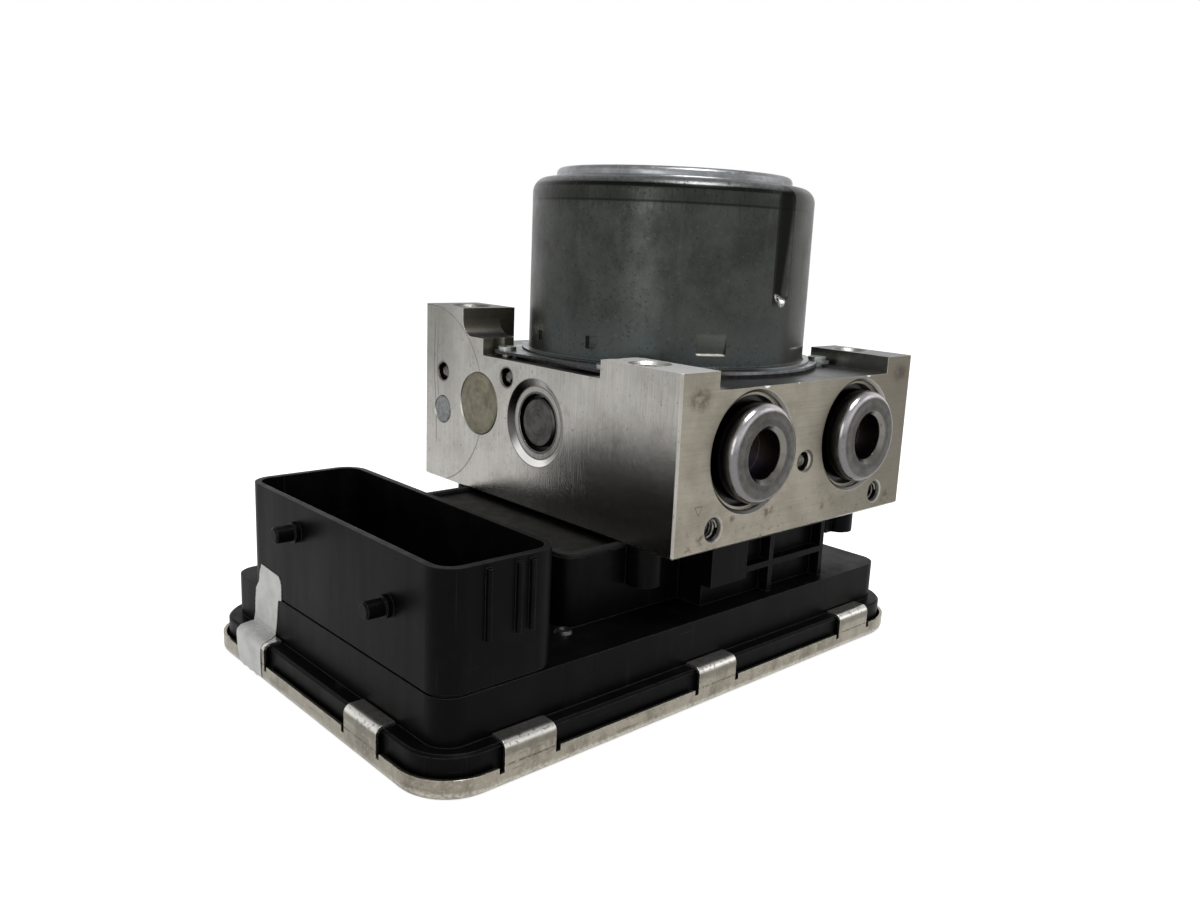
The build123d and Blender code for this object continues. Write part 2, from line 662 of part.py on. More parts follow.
def motor_can():
    """Deep-drawn can: foot lip, domed end, pressed channel, lanced window and marks."""
    dome_r = DOME_DISC_R
    lip_top = CAN_FOOT + CAN_LIP_T
    outside = [(CAN_R + CAN_LIP, CAN_FOOT), (CAN_R + CAN_LIP, lip_top), (CAN_R, lip_top),
               (CAN_R, CAN_TOP), (dome_r, CAN_TOP), (dome_r, DOME_TOP), (0, DOME_TOP)]
    inside = [(0, DOME_TOP - CAN_WALL), (dome_r - CAN_WALL, DOME_TOP - CAN_WALL),
              (dome_r - CAN_WALL, CAN_TOP - CAN_WALL), (MAGNET_OUT, CAN_TOP - CAN_WALL),
              (MAGNET_OUT, CAN_FOOT)]
    section = make_face(Polyline(*outside, *inside, close=True))
    section = rounded(section, (((CAN_R, lip_top), CAN_LIP_ROUND), ((CAN_R, CAN_TOP), CAN_ROUND),
                                ((dome_r, CAN_TOP), 0.8), ((dome_r, DOME_TOP), 1.6),
                                ((MAGNET_OUT, CAN_TOP - CAN_WALL), CAN_ROUND - CAN_WALL)))
    shell = revolve(Plane.XZ * section, Axis.Z)
    cup_foot = REAR_BEARING_Z + 0.6
    shell += ring(0, 0, REAR_BEARING_R + RUN_GAP + CAN_WALL, REAR_BEARING_R + RUN_GAP, cup_foot,
                  DOME_TOP - CAN_WALL / 2)
    can = Pos(MOTOR_X, MOTOR_Y) * shell
    inner_wall = rod(MOTOR_X, MOTOR_Y, MAGNET_OUT + CAN_WALL / 2, CAN_FOOT, CAN_TOP - CAN_WALL)
    can += about_motor(channel(CAN_WALL * 0.8), CHANNEL_ANGLE) & inner_wall
    can -= about_motor(channel(0), CHANNEL_ANGLE)
    can -= about_motor(window_cut(), WINDOW_ANGLE)
    can -= about_motor(punch_mark(), PUNCH_ANGLE)
    nick = box(CAN_R - NICK_DEPTH, CAN_R + 1, -NICK_W / 2, NICK_W / 2, PUNCH_Z, PUNCH_Z + NICK_H)
    can -= about_motor(nick, NICK_ANGLE)
    return can


def channel(grow):
    """Round-bottomed groove down the can's wall with a ball end, grown by a wall."""
    half = CHANNEL_W / 2
    groove_r = (half * half + CHANNEL_DEPTH * CHANNEL_DEPTH) / (2 * CHANNEL_DEPTH)
    axis = CAN_R - CHANNEL_DEPTH + groove_r
    foot = CHANNEL_FOOT + half
    groove = rod(axis, 0, groove_r + grow, foot, CAN_TOP + 1)
    return groove + Pos(axis, 0, foot) * Sphere(groove_r + grow)


def window_cut():
    """Lanced window: its lower edge is pushed inward."""
    foot = WINDOW_Z - WINDOW_H / 2
    head = WINDOW_Z + WINDOW_H / 2
    side = Polyline((CAN_R + 1, head), (CAN_R - 0.1, head), (CAN_R - CAN_WALL / 2, foot),
                    (CAN_R + 1, foot), close=True)
    return Pos(0, WINDOW_W / 2, 0) * extrude(Plane.XZ * make_face(side), WINDOW_W)


def punch_mark():
    """Slanted locating mark, deepest along one side."""
    half = PUNCH_W / 2
    plan = Polyline((CAN_R + 1, -half), (CAN_R - PUNCH_DEPTH, -half), (CAN_R, half), (CAN_R + 1, half),
                    close=True)
    return Pos(0, 0, PUNCH_Z) * extrude(make_face(plan), PUNCH_H)


def lobe(out, side):
    """Web of an ear at +X: square on one side, a straight flank to the plate's edge on the other."""
    reach = BASE_R + out
    lean = side * acos((BASE_R - EAR_R) / reach)
    root = (BASE_R * cos(lean), BASE_R * sin(lean))
    tip = (reach + EAR_R * cos(lean), EAR_R * sin(lean))
    back = BASE_R - EAR_R
    plan = Polyline((back, 0), root, tip, (reach, 0), (reach, -side * EAR_R), (back, -side * EAR_R),
                    close=True)
    return Pos(0, 0, BASE_Z) * extrude(make_face(plan), BASE_T)


def motor_base_plate():
    """Base plate with screw ears and the hub that carries the front bearing."""
    hub_r = HUB_R - RUN_GAP
    pocket = FRONT_BEARING_R + RUN_GAP
    plate = turned((SHAFT_R + 1, HUB_FOOT), (hub_r - 0.6, HUB_FOOT), (hub_r, HUB_FOOT + 0.6),
                   (hub_r, BASE_Z), (BASE_R, BASE_Z), (BASE_R, CAN_FOOT), (pocket, CAN_FOOT),
                   (pocket, BEARING_Z), (SHAFT_R + 1, BEARING_Z))
    plate = Pos(MOTOR_X, MOTOR_Y) * plate
    for (angle, out), side in zip(EARS, FLANKS):
        if side:
            plate += about_motor(lobe(out, side), angle)
    for x, y in motor_ears():
        plate += rod(x, y, EAR_R, BASE_Z, CAN_FOOT)
    for x, y in motor_ears():
        plate -= rod(x, y, MOTOR_SCREW_R + RUN_GAP, BASE_Z - 1, CAN_FOOT + 1)
    return plate - rod(CONTACT_X, CONTACT_Y, CONTACT_R + SLIP_GAP, BASE_Z - 1, CAN_FOOT + 1)


def motor_seal():
    outer = BASE_R - SEAL_INSET
    seal = ring(MOTOR_X, MOTOR_Y, outer, outer - SEAL_W, FLOOR_Z, BASE_Z)
    for x, y in motor_ears():
        seal -= rod(x, y, MOTOR_SCREW_R + SLIP_GAP, FLOOR_Z - 1, BASE_Z + 1)
    return seal


def motor_screws():
    screws = []
    for x, y in motor_ears():
        screw = rod(x, y, MOTOR_HEAD_R, CAN_FOOT, CAN_FOOT + MOTOR_HEAD_H)
        screw += rod(x, y, MOTOR_SCREW_R, CAN_FOOT - MOTOR_SCREW_L, CAN_FOOT)
        socket = extrude(RegularPolygon(MOTOR_HEAD_R * 0.55, 6), MOTOR_HEAD_H)
        screws.append(screw - Pos(x, y, CAN_FOOT + MOTOR_HEAD_H / 2) * socket)
    return Compound(screws)


def bearing(outer, inner, z, height):
    """Shielded bearing: race faces proud of its shields."""
    third = (outer - inner) / 3
    body = ring(0, 0, outer, inner, 0, height)
    for foot in (-1, height - 0.5):
        body -= ring(0, 0, outer - third, inner + third, foot, foot + 1.5)
    return Pos(MOTOR_X, MOTOR_Y, z) * body


def motor_shaft():
    """Motor shaft with the pump eccentric and the end pin."""
    cam_foot = PUMP_Z - CAM_H / 2
    shaft = rod(MOTOR_X, MOTOR_Y, END_PIN_R, END_BEARING_Z + 0.3, cam_foot)
    shaft += rod(MOTOR_X, MOTOR_Y, SHAFT_R, cam_foot, DOME_TOP - CAN_WALL - 0.4)
    shaft += rod(*CAM_CENTRE, CAM_R, cam_foot, cam_foot + CAM_H)
    return shaft


def eccentric_bearing():
    foot = PUMP_Z - CAM_H / 2
    return ring(*CAM_CENTRE, CAM_RING_R, CAM_R + 0.02, foot, foot + CAM_H)


def slot_outline(trim):
    """Slot between two teeth of the core, shrunk by trim on every side."""
    half = radians(180 / CORE_SLOTS)
    foot = YOKE_R + trim
    head = CORE_R - TOOTH_TIP - trim
    low = foot * tan(half) - TOOTH_W / 2 / cos(half) - trim
    high = head * tan(half) - TOOTH_W / 2 / cos(half) - trim
    return make_face(Polyline((foot, -low), (head, -high), (head, high), (foot, low), close=True))


def armature_core():
    """Laminated core with its slots."""
    section = Circle(CORE_R) - Circle(SHAFT_R + RUN_GAP / 2)
    slot = slot_outline(0) + Pos(CORE_R, 0) * Rectangle(TOOTH_TIP * 3, SLOT_MOUTH)
    for i in range(CORE_SLOTS):
        section -= Rot(0, 0, i * 360 / CORE_SLOTS) * slot
    return Pos(MOTOR_X, MOTOR_Y, CORE_Z) * extrude(section, CORE_H)


def armature_windings():
    """Copper windings: slot fill and the two end turns."""
    coil = extrude(slot_outline(SLIP_GAP), CORE_H + 2 * WINDING_H)
    body = Pos(0, 0, -WINDING_H) * coil
    for i in range(1, CORE_SLOTS):
        body += Pos(0, 0, -WINDING_H) * Rot(0, 0, i * 360 / CORE_SLOTS) * coil
    for foot in (-WINDING_H, CORE_H):
        body += ring(0, 0, CORE_R - WINDING_DROP, YOKE_R + SLIP_GAP, foot, foot + WINDING_H)
    return Pos(MOTOR_X, MOTOR_Y, CORE_Z) * body


def commutator():
    """Copper bars round the shaft, parted by slits."""
    body = ring(0, 0, COMMUTATOR_R, SHAFT_R + RUN_GAP / 2, 0, COMMUTATOR_H)
    slit = Pos(COMMUTATOR_R, 0, COMMUTATOR_H / 2) * Box(3, 0.5, COMMUTATOR_H * 2)
    for i in range(CORE_SLOTS):
        body -= Rot(0, 0, i * 360 / CORE_SLOTS) * slit
    return Pos(MOTOR_X, MOTOR_Y, COMMUTATOR_Z) * body


def magnets():
    """Four curved magnets inside the can, parted by the channel's rib."""
    half = MAGNET_SPAN / 2
    body = ring(0, 0, MAGNET_OUT - RUN_GAP, MAGNET_OUT - MAGNET_T, MAGNET_Z, MAGNET_Z + MAGNET_H)
    reach = CAN_R * 2
    wedge = make_face(Polyline((0, 0), (reach, -reach * tan(radians(half))),
                               (reach, reach * tan(radians(half))), close=True))
    arc = body & Pos(0, 0, MAGNET_Z) * extrude(wedge, MAGNET_H)
    turn = 360 / MAGNETS
    return Compound([about_motor(arc, CHANNEL_ANGLE + turn * (i + 0.5)) for i in range(MAGNETS)])


def brush_holder():
    """Moulded plate with a guide box for each brush."""
    z0 = CAN_FOOT
    top = z0 + HOLDER_T
    bore = COMMUTATOR_R + HOLDER_CLEAR
    plate = ring(0, 0, MAGNET_OUT - HOLDER_EDGE, bore, z0, top)
    x0 = bore + HOLDER_BOX_WALL
    x1 = COMMUTATOR_R + BRUSH_L + BRUSH_SPRING_L + HOLDER_BOX_WALL + 2 * RUN_GAP
    out = BRUSH_W / 2 + RUN_GAP + HOLDER_BOX_WALL
    head = BRUSH_Z + BRUSH_H + RUN_GAP + HOLDER_BOX_WALL / 2
    tube = box(x0, x1, -out, out, z0, head)
    tube -= box(x0 - 1, x1 - HOLDER_BOX_WALL, -BRUSH_W / 2 - RUN_GAP, BRUSH_W / 2 + RUN_GAP,
                BRUSH_Z, BRUSH_Z + BRUSH_H + RUN_GAP)
    for i in range(BRUSHES):
        plate += Rot(0, 0, i * 360 / BRUSHES) * tube
    plate = Pos(MOTOR_X, MOTOR_Y) * plate
    return plate - rod(CONTACT_X, CONTACT_Y, CONTACT_R + SLIP_GAP, z0 - 1, top + 1)


def brushes():
    x0 = COMMUTATOR_R + RUN_GAP
    brush = box(x0, x0 + BRUSH_L, -BRUSH_W / 2, BRUSH_W / 2, BRUSH_Z, BRUSH_Z + BRUSH_H)
    face = rod(0, 0, x0, BRUSH_Z - 1, BRUSH_Z + BRUSH_H + 1)
    return Compound([about_motor(brush - face, i * 360 / BRUSHES) for i in range(BRUSHES)])


def brush_springs():
    spring = coil_spring(BRUSH_SPRING_R, BRUSH_SPRING_WIRE, BRUSH_SPRING_TURNS, BRUSH_SPRING_L)
    laid = Pos(COMMUTATOR_R + RUN_GAP + BRUSH_L, 0, BRUSH_Z + BRUSH_H / 2) * Rot(0, 90, 0) * spring
    return Compound([about_motor(laid, i * 360 / BRUSHES) for i in range(BRUSHES)])


# ---------------------------------------------------------------- control unit
def inset(edge, corner, z0, z1):
    """A slab inside the cover plate's outline by the given edge."""
    return slab(PLATE_X0 + edge, PLATE_X1 - edge, PLATE_Y0 + edge, PLATE_Y1 - edge, corner, z0, z1)


def tab(length):
    """Curled tab at the origin's edge: it rises along Z and its lip runs to +Y."""
    top = FLANGE_TOP + SHEET
    outline = Polyline((0, RIM_Z - TAB_NOTCH), (0, top), (TAB_LIP, top), (TAB_LIP, FLANGE_TOP),
                       (SHEET, FLANGE_TOP), (SHEET, RIM_Z - TAB_NOTCH), close=True)
    section = rounded(make_face(outline), (((0, top), TAB_BEND),
                                           ((SHEET, FLANGE_TOP), TAB_BEND - SHEET)))
    return Pos(-length / 2, 0, 0) * extrude(Plane.YZ * section, length)


def tab_places():
    """Middle of each tab on the plate's edge, with the turn that faces it inward."""
    mid_x, mid_y = PLATE_MID
    places = []
    for i in (-1, 0, 1):
        places.append((mid_x + i * TAB_PITCH_X, PLATE_Y0, 0))
        places.append((mid_x + i * TAB_PITCH_X, PLATE_Y1, 180))
    for i in (-0.5, 0.5):
        places.append((PLATE_X0, mid_y + i * TAB_PITCH_Y, -90))
        places.append((PLATE_X1, mid_y + i * TAB_PITCH_Y, 90))
    return places


def cover_plate():
    """Pressed sheet cover: a shallow pan with ten tabs curled over the housing flange."""
    pan = inset(0, PLATE_CORNER, PLATE_Z, RIM_Z)
    pan = fillet(pan.faces().sort_by(Axis.Z)[0].edges(), RIM_BEND)
    hollow = inset(SHEET, PLATE_CORNER - SHEET, PLATE_Z + SHEET, RIM_Z + 1)
    hollow = fillet(hollow.faces().sort_by(Axis.Z)[0].edges(), RIM_BEND - SHEET)
    pan -= hollow
    notch_at = TAB_W / 2 + TAB_NOTCH / 2
    for x, y, turn in tab_places():
        at = Pos(x, y, 0) * Rot(0, 0, turn)
        for side in (-1, 1):
            pan -= at * box(side * notch_at - TAB_NOTCH / 2, side * notch_at + TAB_NOTCH / 2,
                            -1, SHEET + 0.5, RIM_Z - TAB_NOTCH, RIM_Z + 1)
        pan += at * tab(TAB_W)
    return pan


def cover_seal():
    """Sealing bead between the cover and the housing's foot."""
    floor = PLATE_Z + SHEET
    edge = FLANGE_INSET + SEAL_BAND
    return (inset(edge, FLANGE_CORNER - SEAL_BAND, floor, FLANGE_FOOT)
            - inset(edge + SEAL_BAND, FLANGE_CORNER - 2 * SEAL_BAND, floor - 1, FLANGE_FOOT + 1))


def tower(edge, corner, z0, z1):
    return slab(TOWER_X0 + edge, TOWER_X1 - edge, TOWER_Y0 + edge, TOWER_Y1 - edge, corner, z0, z1)


def shroud(edge, z0, z1):
    """Connector wall's outline, moved inward by edge."""
    return slab(BOX_X0 + edge, SHROUD_X1 - edge, BOX_Y0 + edge, SHROUD_Y1 - edge,
                BOX_CORNER - edge, z0, z1)


def ear_bosses():
    """Four screw bosses beside the tower, each tied to its wall."""
    bosses = []
    for x, y in EAR_POINTS:
        boss = rod(x, y, EAR_BOSS_R, -EAR_BOSS_H, 0)
        if x > TOWER_X1:
            boss += box(TOWER_X1 - TOWER_CORNER, x, y - WALL / 2, y + WALL / 2, -EAR_BOSS_H, TOWER_TOP)
            inner_y = TOWER_Y0 + WALL if y < PLATE_MID[1] else TOWER_Y1 - WALL
            boss += box(x - EAR_BOSS_R, x - EAR_BOSS_R + WALL, min(y, inner_y), max(y, inner_y),
                        -EAR_BOSS_H, TOWER_TOP)
        bosses.append(boss)
    return bosses


def lattice():
    """Ribbed moulding in front of the tower."""
    block = box(LATTICE_X0, LATTICE_X1, LATTICE_BACK, TOWER_Y0 + LATTICE_TIE, BOX_TOP - LATTICE_TIE,
                TOWER_TOP)
    block += box(LATTICE_X0, LATTICE_X0 + COLUMN_W, LATTICE_Y, LATTICE_BACK, COLUMN_FOOT, TOWER_TOP)
    for x in LATTICE_RIBS_X:
        block += box(x, x + LATTICE_RIB, LATTICE_Y, LATTICE_BACK, BOX_TOP, TOWER_TOP)
    block += box(LATTICE_X0 + COLUMN_W, LATTICE_RIBS_X[-1] + LATTICE_RIB, LATTICE_Y, LATTICE_BACK,
                 LATTICE_SHELF_Z - LATTICE_RIB, LATTICE_SHELF_Z)
    block += box(LATTICE_X0 + COLUMN_W, LATTICE_RIBS_X[-1] + LATTICE_RIB, LATTICE_Y, LATTICE_BACK,
                 TOWER_TOP - LATTICE_RIB, TOWER_TOP)
    hollow = box(LATTICE_X0 + WALL, LATTICE_X1 - WALL, LATTICE_BACK + WALL, TOWER_Y0 - WALL / 2,
                 BOX_CEILING - 1, TOWER_TOP - WALL)
    return block, hollow


def signal_pins():
    """Middle of each signal pin in the connector."""
    x_mid = (BOX_X0 + SHROUD_X1) / 2
    y_mid = (BOX_Y0 + SHROUD_Y1) / 2 - POWER_ZONE / 2
    return [(x_mid + (i - (PIN_ROWS - 1) / 2) * PIN_ROW_PITCH,
             y_mid + (j - (PIN_COLUMNS - 1) / 2) * PIN_PITCH)
            for i in range(PIN_ROWS) for j in range(PIN_COLUMNS)]


def power_blades():
    """Middle of each power blade at the connector's rear end."""
    x_mid = (BOX_X0 + SHROUD_X1) / 2
    y_mid = SHROUD_Y1 - SHROUD_WALL - POWER_ZONE / 2
    return [(x_mid + i * PIN_ROW_PITCH / 2, y_mid + j * PIN_PITCH / 2)
            for i in (-1, 1) for j in (-1, 1)]


def square_pins(places, width, thick, z0, z1):
    return [box(x - width / 2, x + width / 2, y - thick / 2, y + thick / 2, z0, z1) for x, y in places]


def connector_contacts(grow, z0, z1):
    """All pins and blades, wider by grow on each side."""
    wide = 2 * grow
    return (square_pins(signal_pins(), PIN_W + wide, PIN_W + wide, z0, z1)
            + square_pins(power_blades(), POWER_W + wide, POWER_T + wide, z0, z1))


def coil_terminals(grow, z0, z1):
    """Two terminals for each coil, wider by grow on each side."""
    wide = TERMINAL_W + 2 * grow
    places = [(x + side * TERMINAL_PITCH, y) for x, y in VALVES for side in (-1, 1)]
    return square_pins(places, wide, wide, z0, z1)


def motor_contacts(grow, z0, z1):
    """The motor's two supply pins, wider by grow on each side."""
    wide = CONTACT_PIN + 2 * grow
    places = [(CONTACT_X + side * CONTACT_PITCH / 2, CONTACT_Y) for side in (-1, 1)]
    return square_pins(places, wide, wide, z0, z1)


def cut(body, tools):
    for tool in tools:
        body -= tool
    return body


def board_posts():
    """Posts under the housing's ceiling that the board is fixed to."""
    edge = FLANGE_INSET + BOX_INSET + WALL + POST_R + BOARD_GAP
    xs = (PLATE_X0 + edge, PLATE_MID[0], PLATE_X1 - edge)
    ys = (PLATE_Y0 + edge, PLATE_Y1 - edge)
    return [(x, y) for x in xs for y in ys]


def ecu_housing():
    """Moulded housing: flange, box, valve tower, connector wall, pegs and screw ears."""
    body = inset(FLANGE_INSET, FLANGE_CORNER, FLANGE_FOOT, FLANGE_TOP)
    body = chamfer(body.faces().sort_by(Axis.Z)[-1].edges(), FLANGE_EDGE)
    body += inset(BOX_EDGE, BOX_CORNER, FLANGE_TOP, BOX_TOP)
    body += tower(0, TOWER_CORNER, BOX_TOP, TOWER_TOP)
    body += shroud(0, BOX_TOP, SHROUD_TOP)
    front, hollow = lattice()
    body += front
    for boss in ear_bosses():
        body += boss
    body -= tower(0, TOWER_CORNER, TOWER_TOP, 1)
    for x, width in [(x, KEY_RIB_W) for x in KEY_RIBS_X]:
        body += box(x - width / 2, x + width / 2, BOX_Y0 - KEY_RIB_D + width / 2, BOX_Y0 + 0.5,
                    KEY_RIB_FOOT, KEY_RIB_TOP)
        body += rod(x, BOX_Y0 - KEY_RIB_D + width / 2, width / 2, KEY_RIB_FOOT, KEY_RIB_TOP)
    peg = turned((0, 0), (PEG_COLLAR_R, 0), (PEG_COLLAR_R, PEG_COLLAR_L), (PEG_R, PEG_COLLAR_L),
                 (PEG_R, PEG_L - 0.4), (PEG_R - 0.4, PEG_L), (0, PEG_L))
    for y, z in PEGS:
        body += Pos(BOX_X0, y, z) * Rot(0, -90, 0) * peg
    body -= inset(BOX_EDGE + WALL, BOX_CORNER - WALL, FLANGE_FOOT - 1, BOX_CEILING)
    body -= tower(WALL, TOWER_CORNER - WALL, BOX_CEILING - 1, CHAMBER_TOP)
    body -= hollow
    body -= shroud(SHROUD_WALL, SHROUD_FLOOR, SHROUD_TOP + 1)
    body -= shroud(-1, BOX_TOP, BOX_TOP + SEAM) - shroud(SEAM, BOX_TOP - 1, BOX_TOP + SEAM + 1)
    for x, y in board_posts():
        body += rod(x, y, POST_R, BOARD_TOP, BOX_CEILING + 0.5)
    for x, y in VALVES:
        body -= rod(x, y, BOBBIN_BORE, CHAMBER_TOP - 1, TOWER_TOP + 1)
    for x, y in EAR_POINTS:
        body -= rod(x, y, SCREW_R + SLIP_GAP, -EAR_BOSS_H - 1, 1)
        body -= rod(x, y, SCREW_HEAD_R + SLIP_GAP, -EAR_BOSS_H - 1, -EAR_SEAT)
    body -= rod(CONTACT_X, CONTACT_Y, CONTACT_R + SLIP_GAP, CHAMBER_TOP - 1, TOWER_TOP + 1)
    return cut(body, connector_contacts(0, BOX_CEILING - 1, SHROUD_FLOOR + 1))


def block_gasket():
    """Flat gasket between the tower and the valve block."""
    gasket = tower(SLIP_GAP, TOWER_CORNER - SLIP_GAP, TOWER_TOP, 0)
    return gasket - tower(GASKET_W, TOWER_CORNER - GASKET_W, TOWER_TOP - 1, 1)


def connector_pins():
    return Compound(connector_contacts(0, BOARD_Z - PIN_TAIL, SHROUD_FLOOR + PIN_H))


def circuit_board():
    """Board on the housing's posts, drilled for every pin."""
    edge = BOX_EDGE + WALL + BOARD_GAP
    board = inset(edge, BOX_CORNER - WALL - BOARD_GAP, BOARD_Z, BOARD_TOP)
    below, above = BOARD_Z - 1, BOARD_TOP + 1
    board = cut(board, connector_contacts(RUN_GAP, below, above))
    board = cut(board, coil_terminals(RUN_GAP, below, above))
    return cut(board, motor_contacts(RUN_GAP, below, above))


def board_components():
    """Tall parts on the board's upper face and flat parts below it."""
    parts = []
    for x, y in CAPACITORS:
        parts.append(rod(x, y, CAPACITOR_R, BOARD_TOP, BOARD_TOP + CAPACITOR_H))
    for x, y, width, depth, height in UPPER_PARTS:
        parts.append(box(x - width / 2, x + width / 2, y - depth / 2, y + depth / 2,
                         BOARD_TOP, BOARD_TOP + height))
    for x, y, width, depth, height in LOWER_PARTS:
        parts.append(box(x - width / 2, x + width / 2, y - depth / 2, y + depth / 2,
                         BOARD_Z - height, BOARD_Z))
    return Compound(parts)


def coil_carrier():
    """Moulded frame in the tower: a bobbin for each coil on a common plate."""
    plate = tower(WALL + SLIP_GAP, TOWER_CORNER - WALL - SLIP_GAP, COIL_FOOT - CARRIER_T, COIL_FOOT)
    flange_r = COIL_R - YOKE_WALL - RUN_GAP
    for x, y in VALVES:
        plate += rod(x, y, BOBBIN_R, COIL_FOOT, CHAMBER_TOP - YOKE_WALL)
        plate += rod(x, y, flange_r, COIL_FOOT, COIL_FOOT + BOBBIN_WALL)
        plate += rod(x, y, flange_r, CHAMBER_TOP - YOKE_WALL - BOBBIN_WALL, CHAMBER_TOP - YOKE_WALL)
    for x, y in VALVES:
        plate -= rod(x, y, BOBBIN_BORE, COIL_FOOT - CARRIER_T - 1, CHAMBER_TOP)
    plate = cut(plate, coil_terminals(RUN_GAP, COIL_FOOT - CARRIER_T - 1, COIL_FOOT + BOBBIN_WALL + 1))
    plate -= rod(CONTACT_X, CONTACT_Y, CONTACT_R + SLIP_GAP, COIL_FOOT - CARRIER_T - 1, COIL_FOOT + 1)
    return plate


def coil_windings():
    low = COIL_FOOT + BOBBIN_WALL
    high = CHAMBER_TOP - YOKE_WALL - BOBBIN_WALL
    outer = BOBBIN_R + WINDING_BUILD
    return Compound([ring(x, y, outer, BOBBIN_R + RUN_GAP, low, high) for x, y in VALVES])


def coil_yokes():
    """Steel can round each coil."""
    yokes = []
    for x, y in VALVES:
        yoke = ring(x, y, COIL_R, COIL_R - YOKE_WALL, COIL_FOOT, CHAMBER_TOP)
        yokes.append(yoke + ring(x, y, COIL_R, BOBBIN_BORE, CHAMBER_TOP - YOKE_WALL, CHAMBER_TOP))
    return Compound(yokes)


def terminals():
    return Compound(coil_terminals(0, BOARD_Z - PIN_TAIL, COIL_FOOT + BOBBIN_WALL))


def contact_carrier():
    """Moulded stem that takes the motor's supply pins through the block."""
    stem = rod(CONTACT_X, CONTACT_Y, CONTACT_R, COIL_FOOT - CARRIER_T, CAN_FOOT + HOLDER_T)
    stem += rod(CONTACT_X, CONTACT_Y, CONTACT_R + CONTACT_FLANGE, COIL_FOOT - CARRIER_T - CONTACT_FLANGE,
                COIL_FOOT - CARRIER_T)
    return cut(stem, motor_contacts(0, BOARD_Z, CAN_FOOT + HOLDER_T + 1))


def contact_pins():
    return Compound(motor_contacts(0, BOARD_Z - PIN_TAIL, CAN_FOOT + HOLDER_T + CONTACT_TIP))


def ecu_screws():
    """Short screws whose heads sit in the ears."""
    screws = []
    for x, y in EAR_POINTS:
        screw = rod(x, y, SCREW_HEAD_R, -EAR_SEAT - SCREW_HEAD_H, -EAR_SEAT)
        screw += rod(x, y, SCREW_R, -EAR_SEAT, SCREW_GRIP)
        socket = extrude(RegularPolygon(SCREW_HEAD_R * 0.55, 6), SCREW_HEAD_H / 2)
        screws.append(screw - Pos(x, y, -EAR_SEAT - SCREW_HEAD_H) * socket)
    return Compound(screws)


def housing_rivet():
    """Small metal bush on the box beside the tower's corner."""
    bush = turned((0, BOX_TOP), (RIVET_R, BOX_TOP), (RIVET_R - 0.4, BOX_TOP + RIVET_H),
                  (RIVET_R * 0.5, BOX_TOP + RIVET_H), (RIVET_R * 0.4, BOX_TOP + RIVET_H / 2),
                  (0, BOX_TOP + RIVET_H / 2))
    return Pos(RIVET_X, RIVET_Y) * bush


# ---------------------------------------------------------------- the part
def place(piece):
    """Move a finished piece to the part's origin: middle of its foot."""
    return Pos(-ORIGIN[0], -ORIGIN[1], -ORIGIN[2]) * piece


def pieces():
    made = {
        "cover_plate": cover_plate(),
        "cover_seal": cover_seal(),
        "ecu_housing": ecu_housing(),
        "connector_pins": connector_pins(),
        "circuit_board": circuit_board(),
        "board_components": board_components(),
        "coil_carrier": coil_carrier(),
        "coil_windings": coil_windings(),
        "coil_yokes": coil_yokes(),
        "coil_terminals": terminals(),
        "contact_carrier": contact_carrier(),
        "contact_pins": contact_pins(),
        "block_gasket": block_gasket(),
        "ecu_screws": ecu_screws(),
        "housing_rivet": housing_rivet(),
        "valve_block": valve_block(),
        "ball_plugs": ball_plugs(),
        "damper_plugs": flat_plugs(DAMPER_R, DAMPER_PLUG_T, DAMPER_Y, DAMPER_Z),
        "chamber_plugs": flat_plugs(CHAMBER_R, CHAMBER_PLUG_T, CHAMBER_Y, CHAMBER_Z),
        "motor_seal": motor_seal(),
        "motor_base_plate": motor_base_plate(),
        "motor_can": motor_can(),
        "motor_screws": motor_screws(),
        "magnets": magnets(),
        "brush_holder": brush_holder(),
        "brushes": brushes(),
        "brush_springs": brush_springs(),
        "front_bearing": bearing(FRONT_BEARING_R, SHAFT_R + RUN_GAP, BEARING_Z, FRONT_BEARING_H),
        "rear_bearing": bearing(REAR_BEARING_R, SHAFT_R + RUN_GAP, REAR_BEARING_Z, REAR_BEARING_H),
        "shaft_end_bearing": bearing(END_BEARING_R, END_PIN_R + RUN_GAP, END_BEARING_Z, END_BEARING_H),
        "motor_shaft": motor_shaft(),
        "eccentric_bearing": eccentric_bearing(),
        "armature_core": armature_core(),
        "armature_windings": armature_windings(),
        "commutator": commutator(),
    }
    for kind in VALVE_KINDS:
        made[kind + "_valves"] = valves(kind)
    for name, side in SIDES.items():
        made["pump_plug_" + name] = pump_plug(side)
        made["pump_sleeve_" + name] = pump_sleeve(side)
        made["pump_piston_" + name] = pump_piston(side)
        made["pump_spring_" + name] = pump_spring(side)
    for name, x in zip(SIDES, ACC_X):
        made["accumulator_cap_" + name] = accumulator_cap(x)
        made["accumulator_spring_" + name] = accumulator_spring(x)
        made["accumulator_piston_" + name] = accumulator_piston(x)
        made["accumulator_ring_" + name] = accumulator_ring(x)
    return made


os.makedirs("parts", exist_ok=True)
for name, piece in pieces().items():
    export_step(place(piece), f"parts/{name}.step")
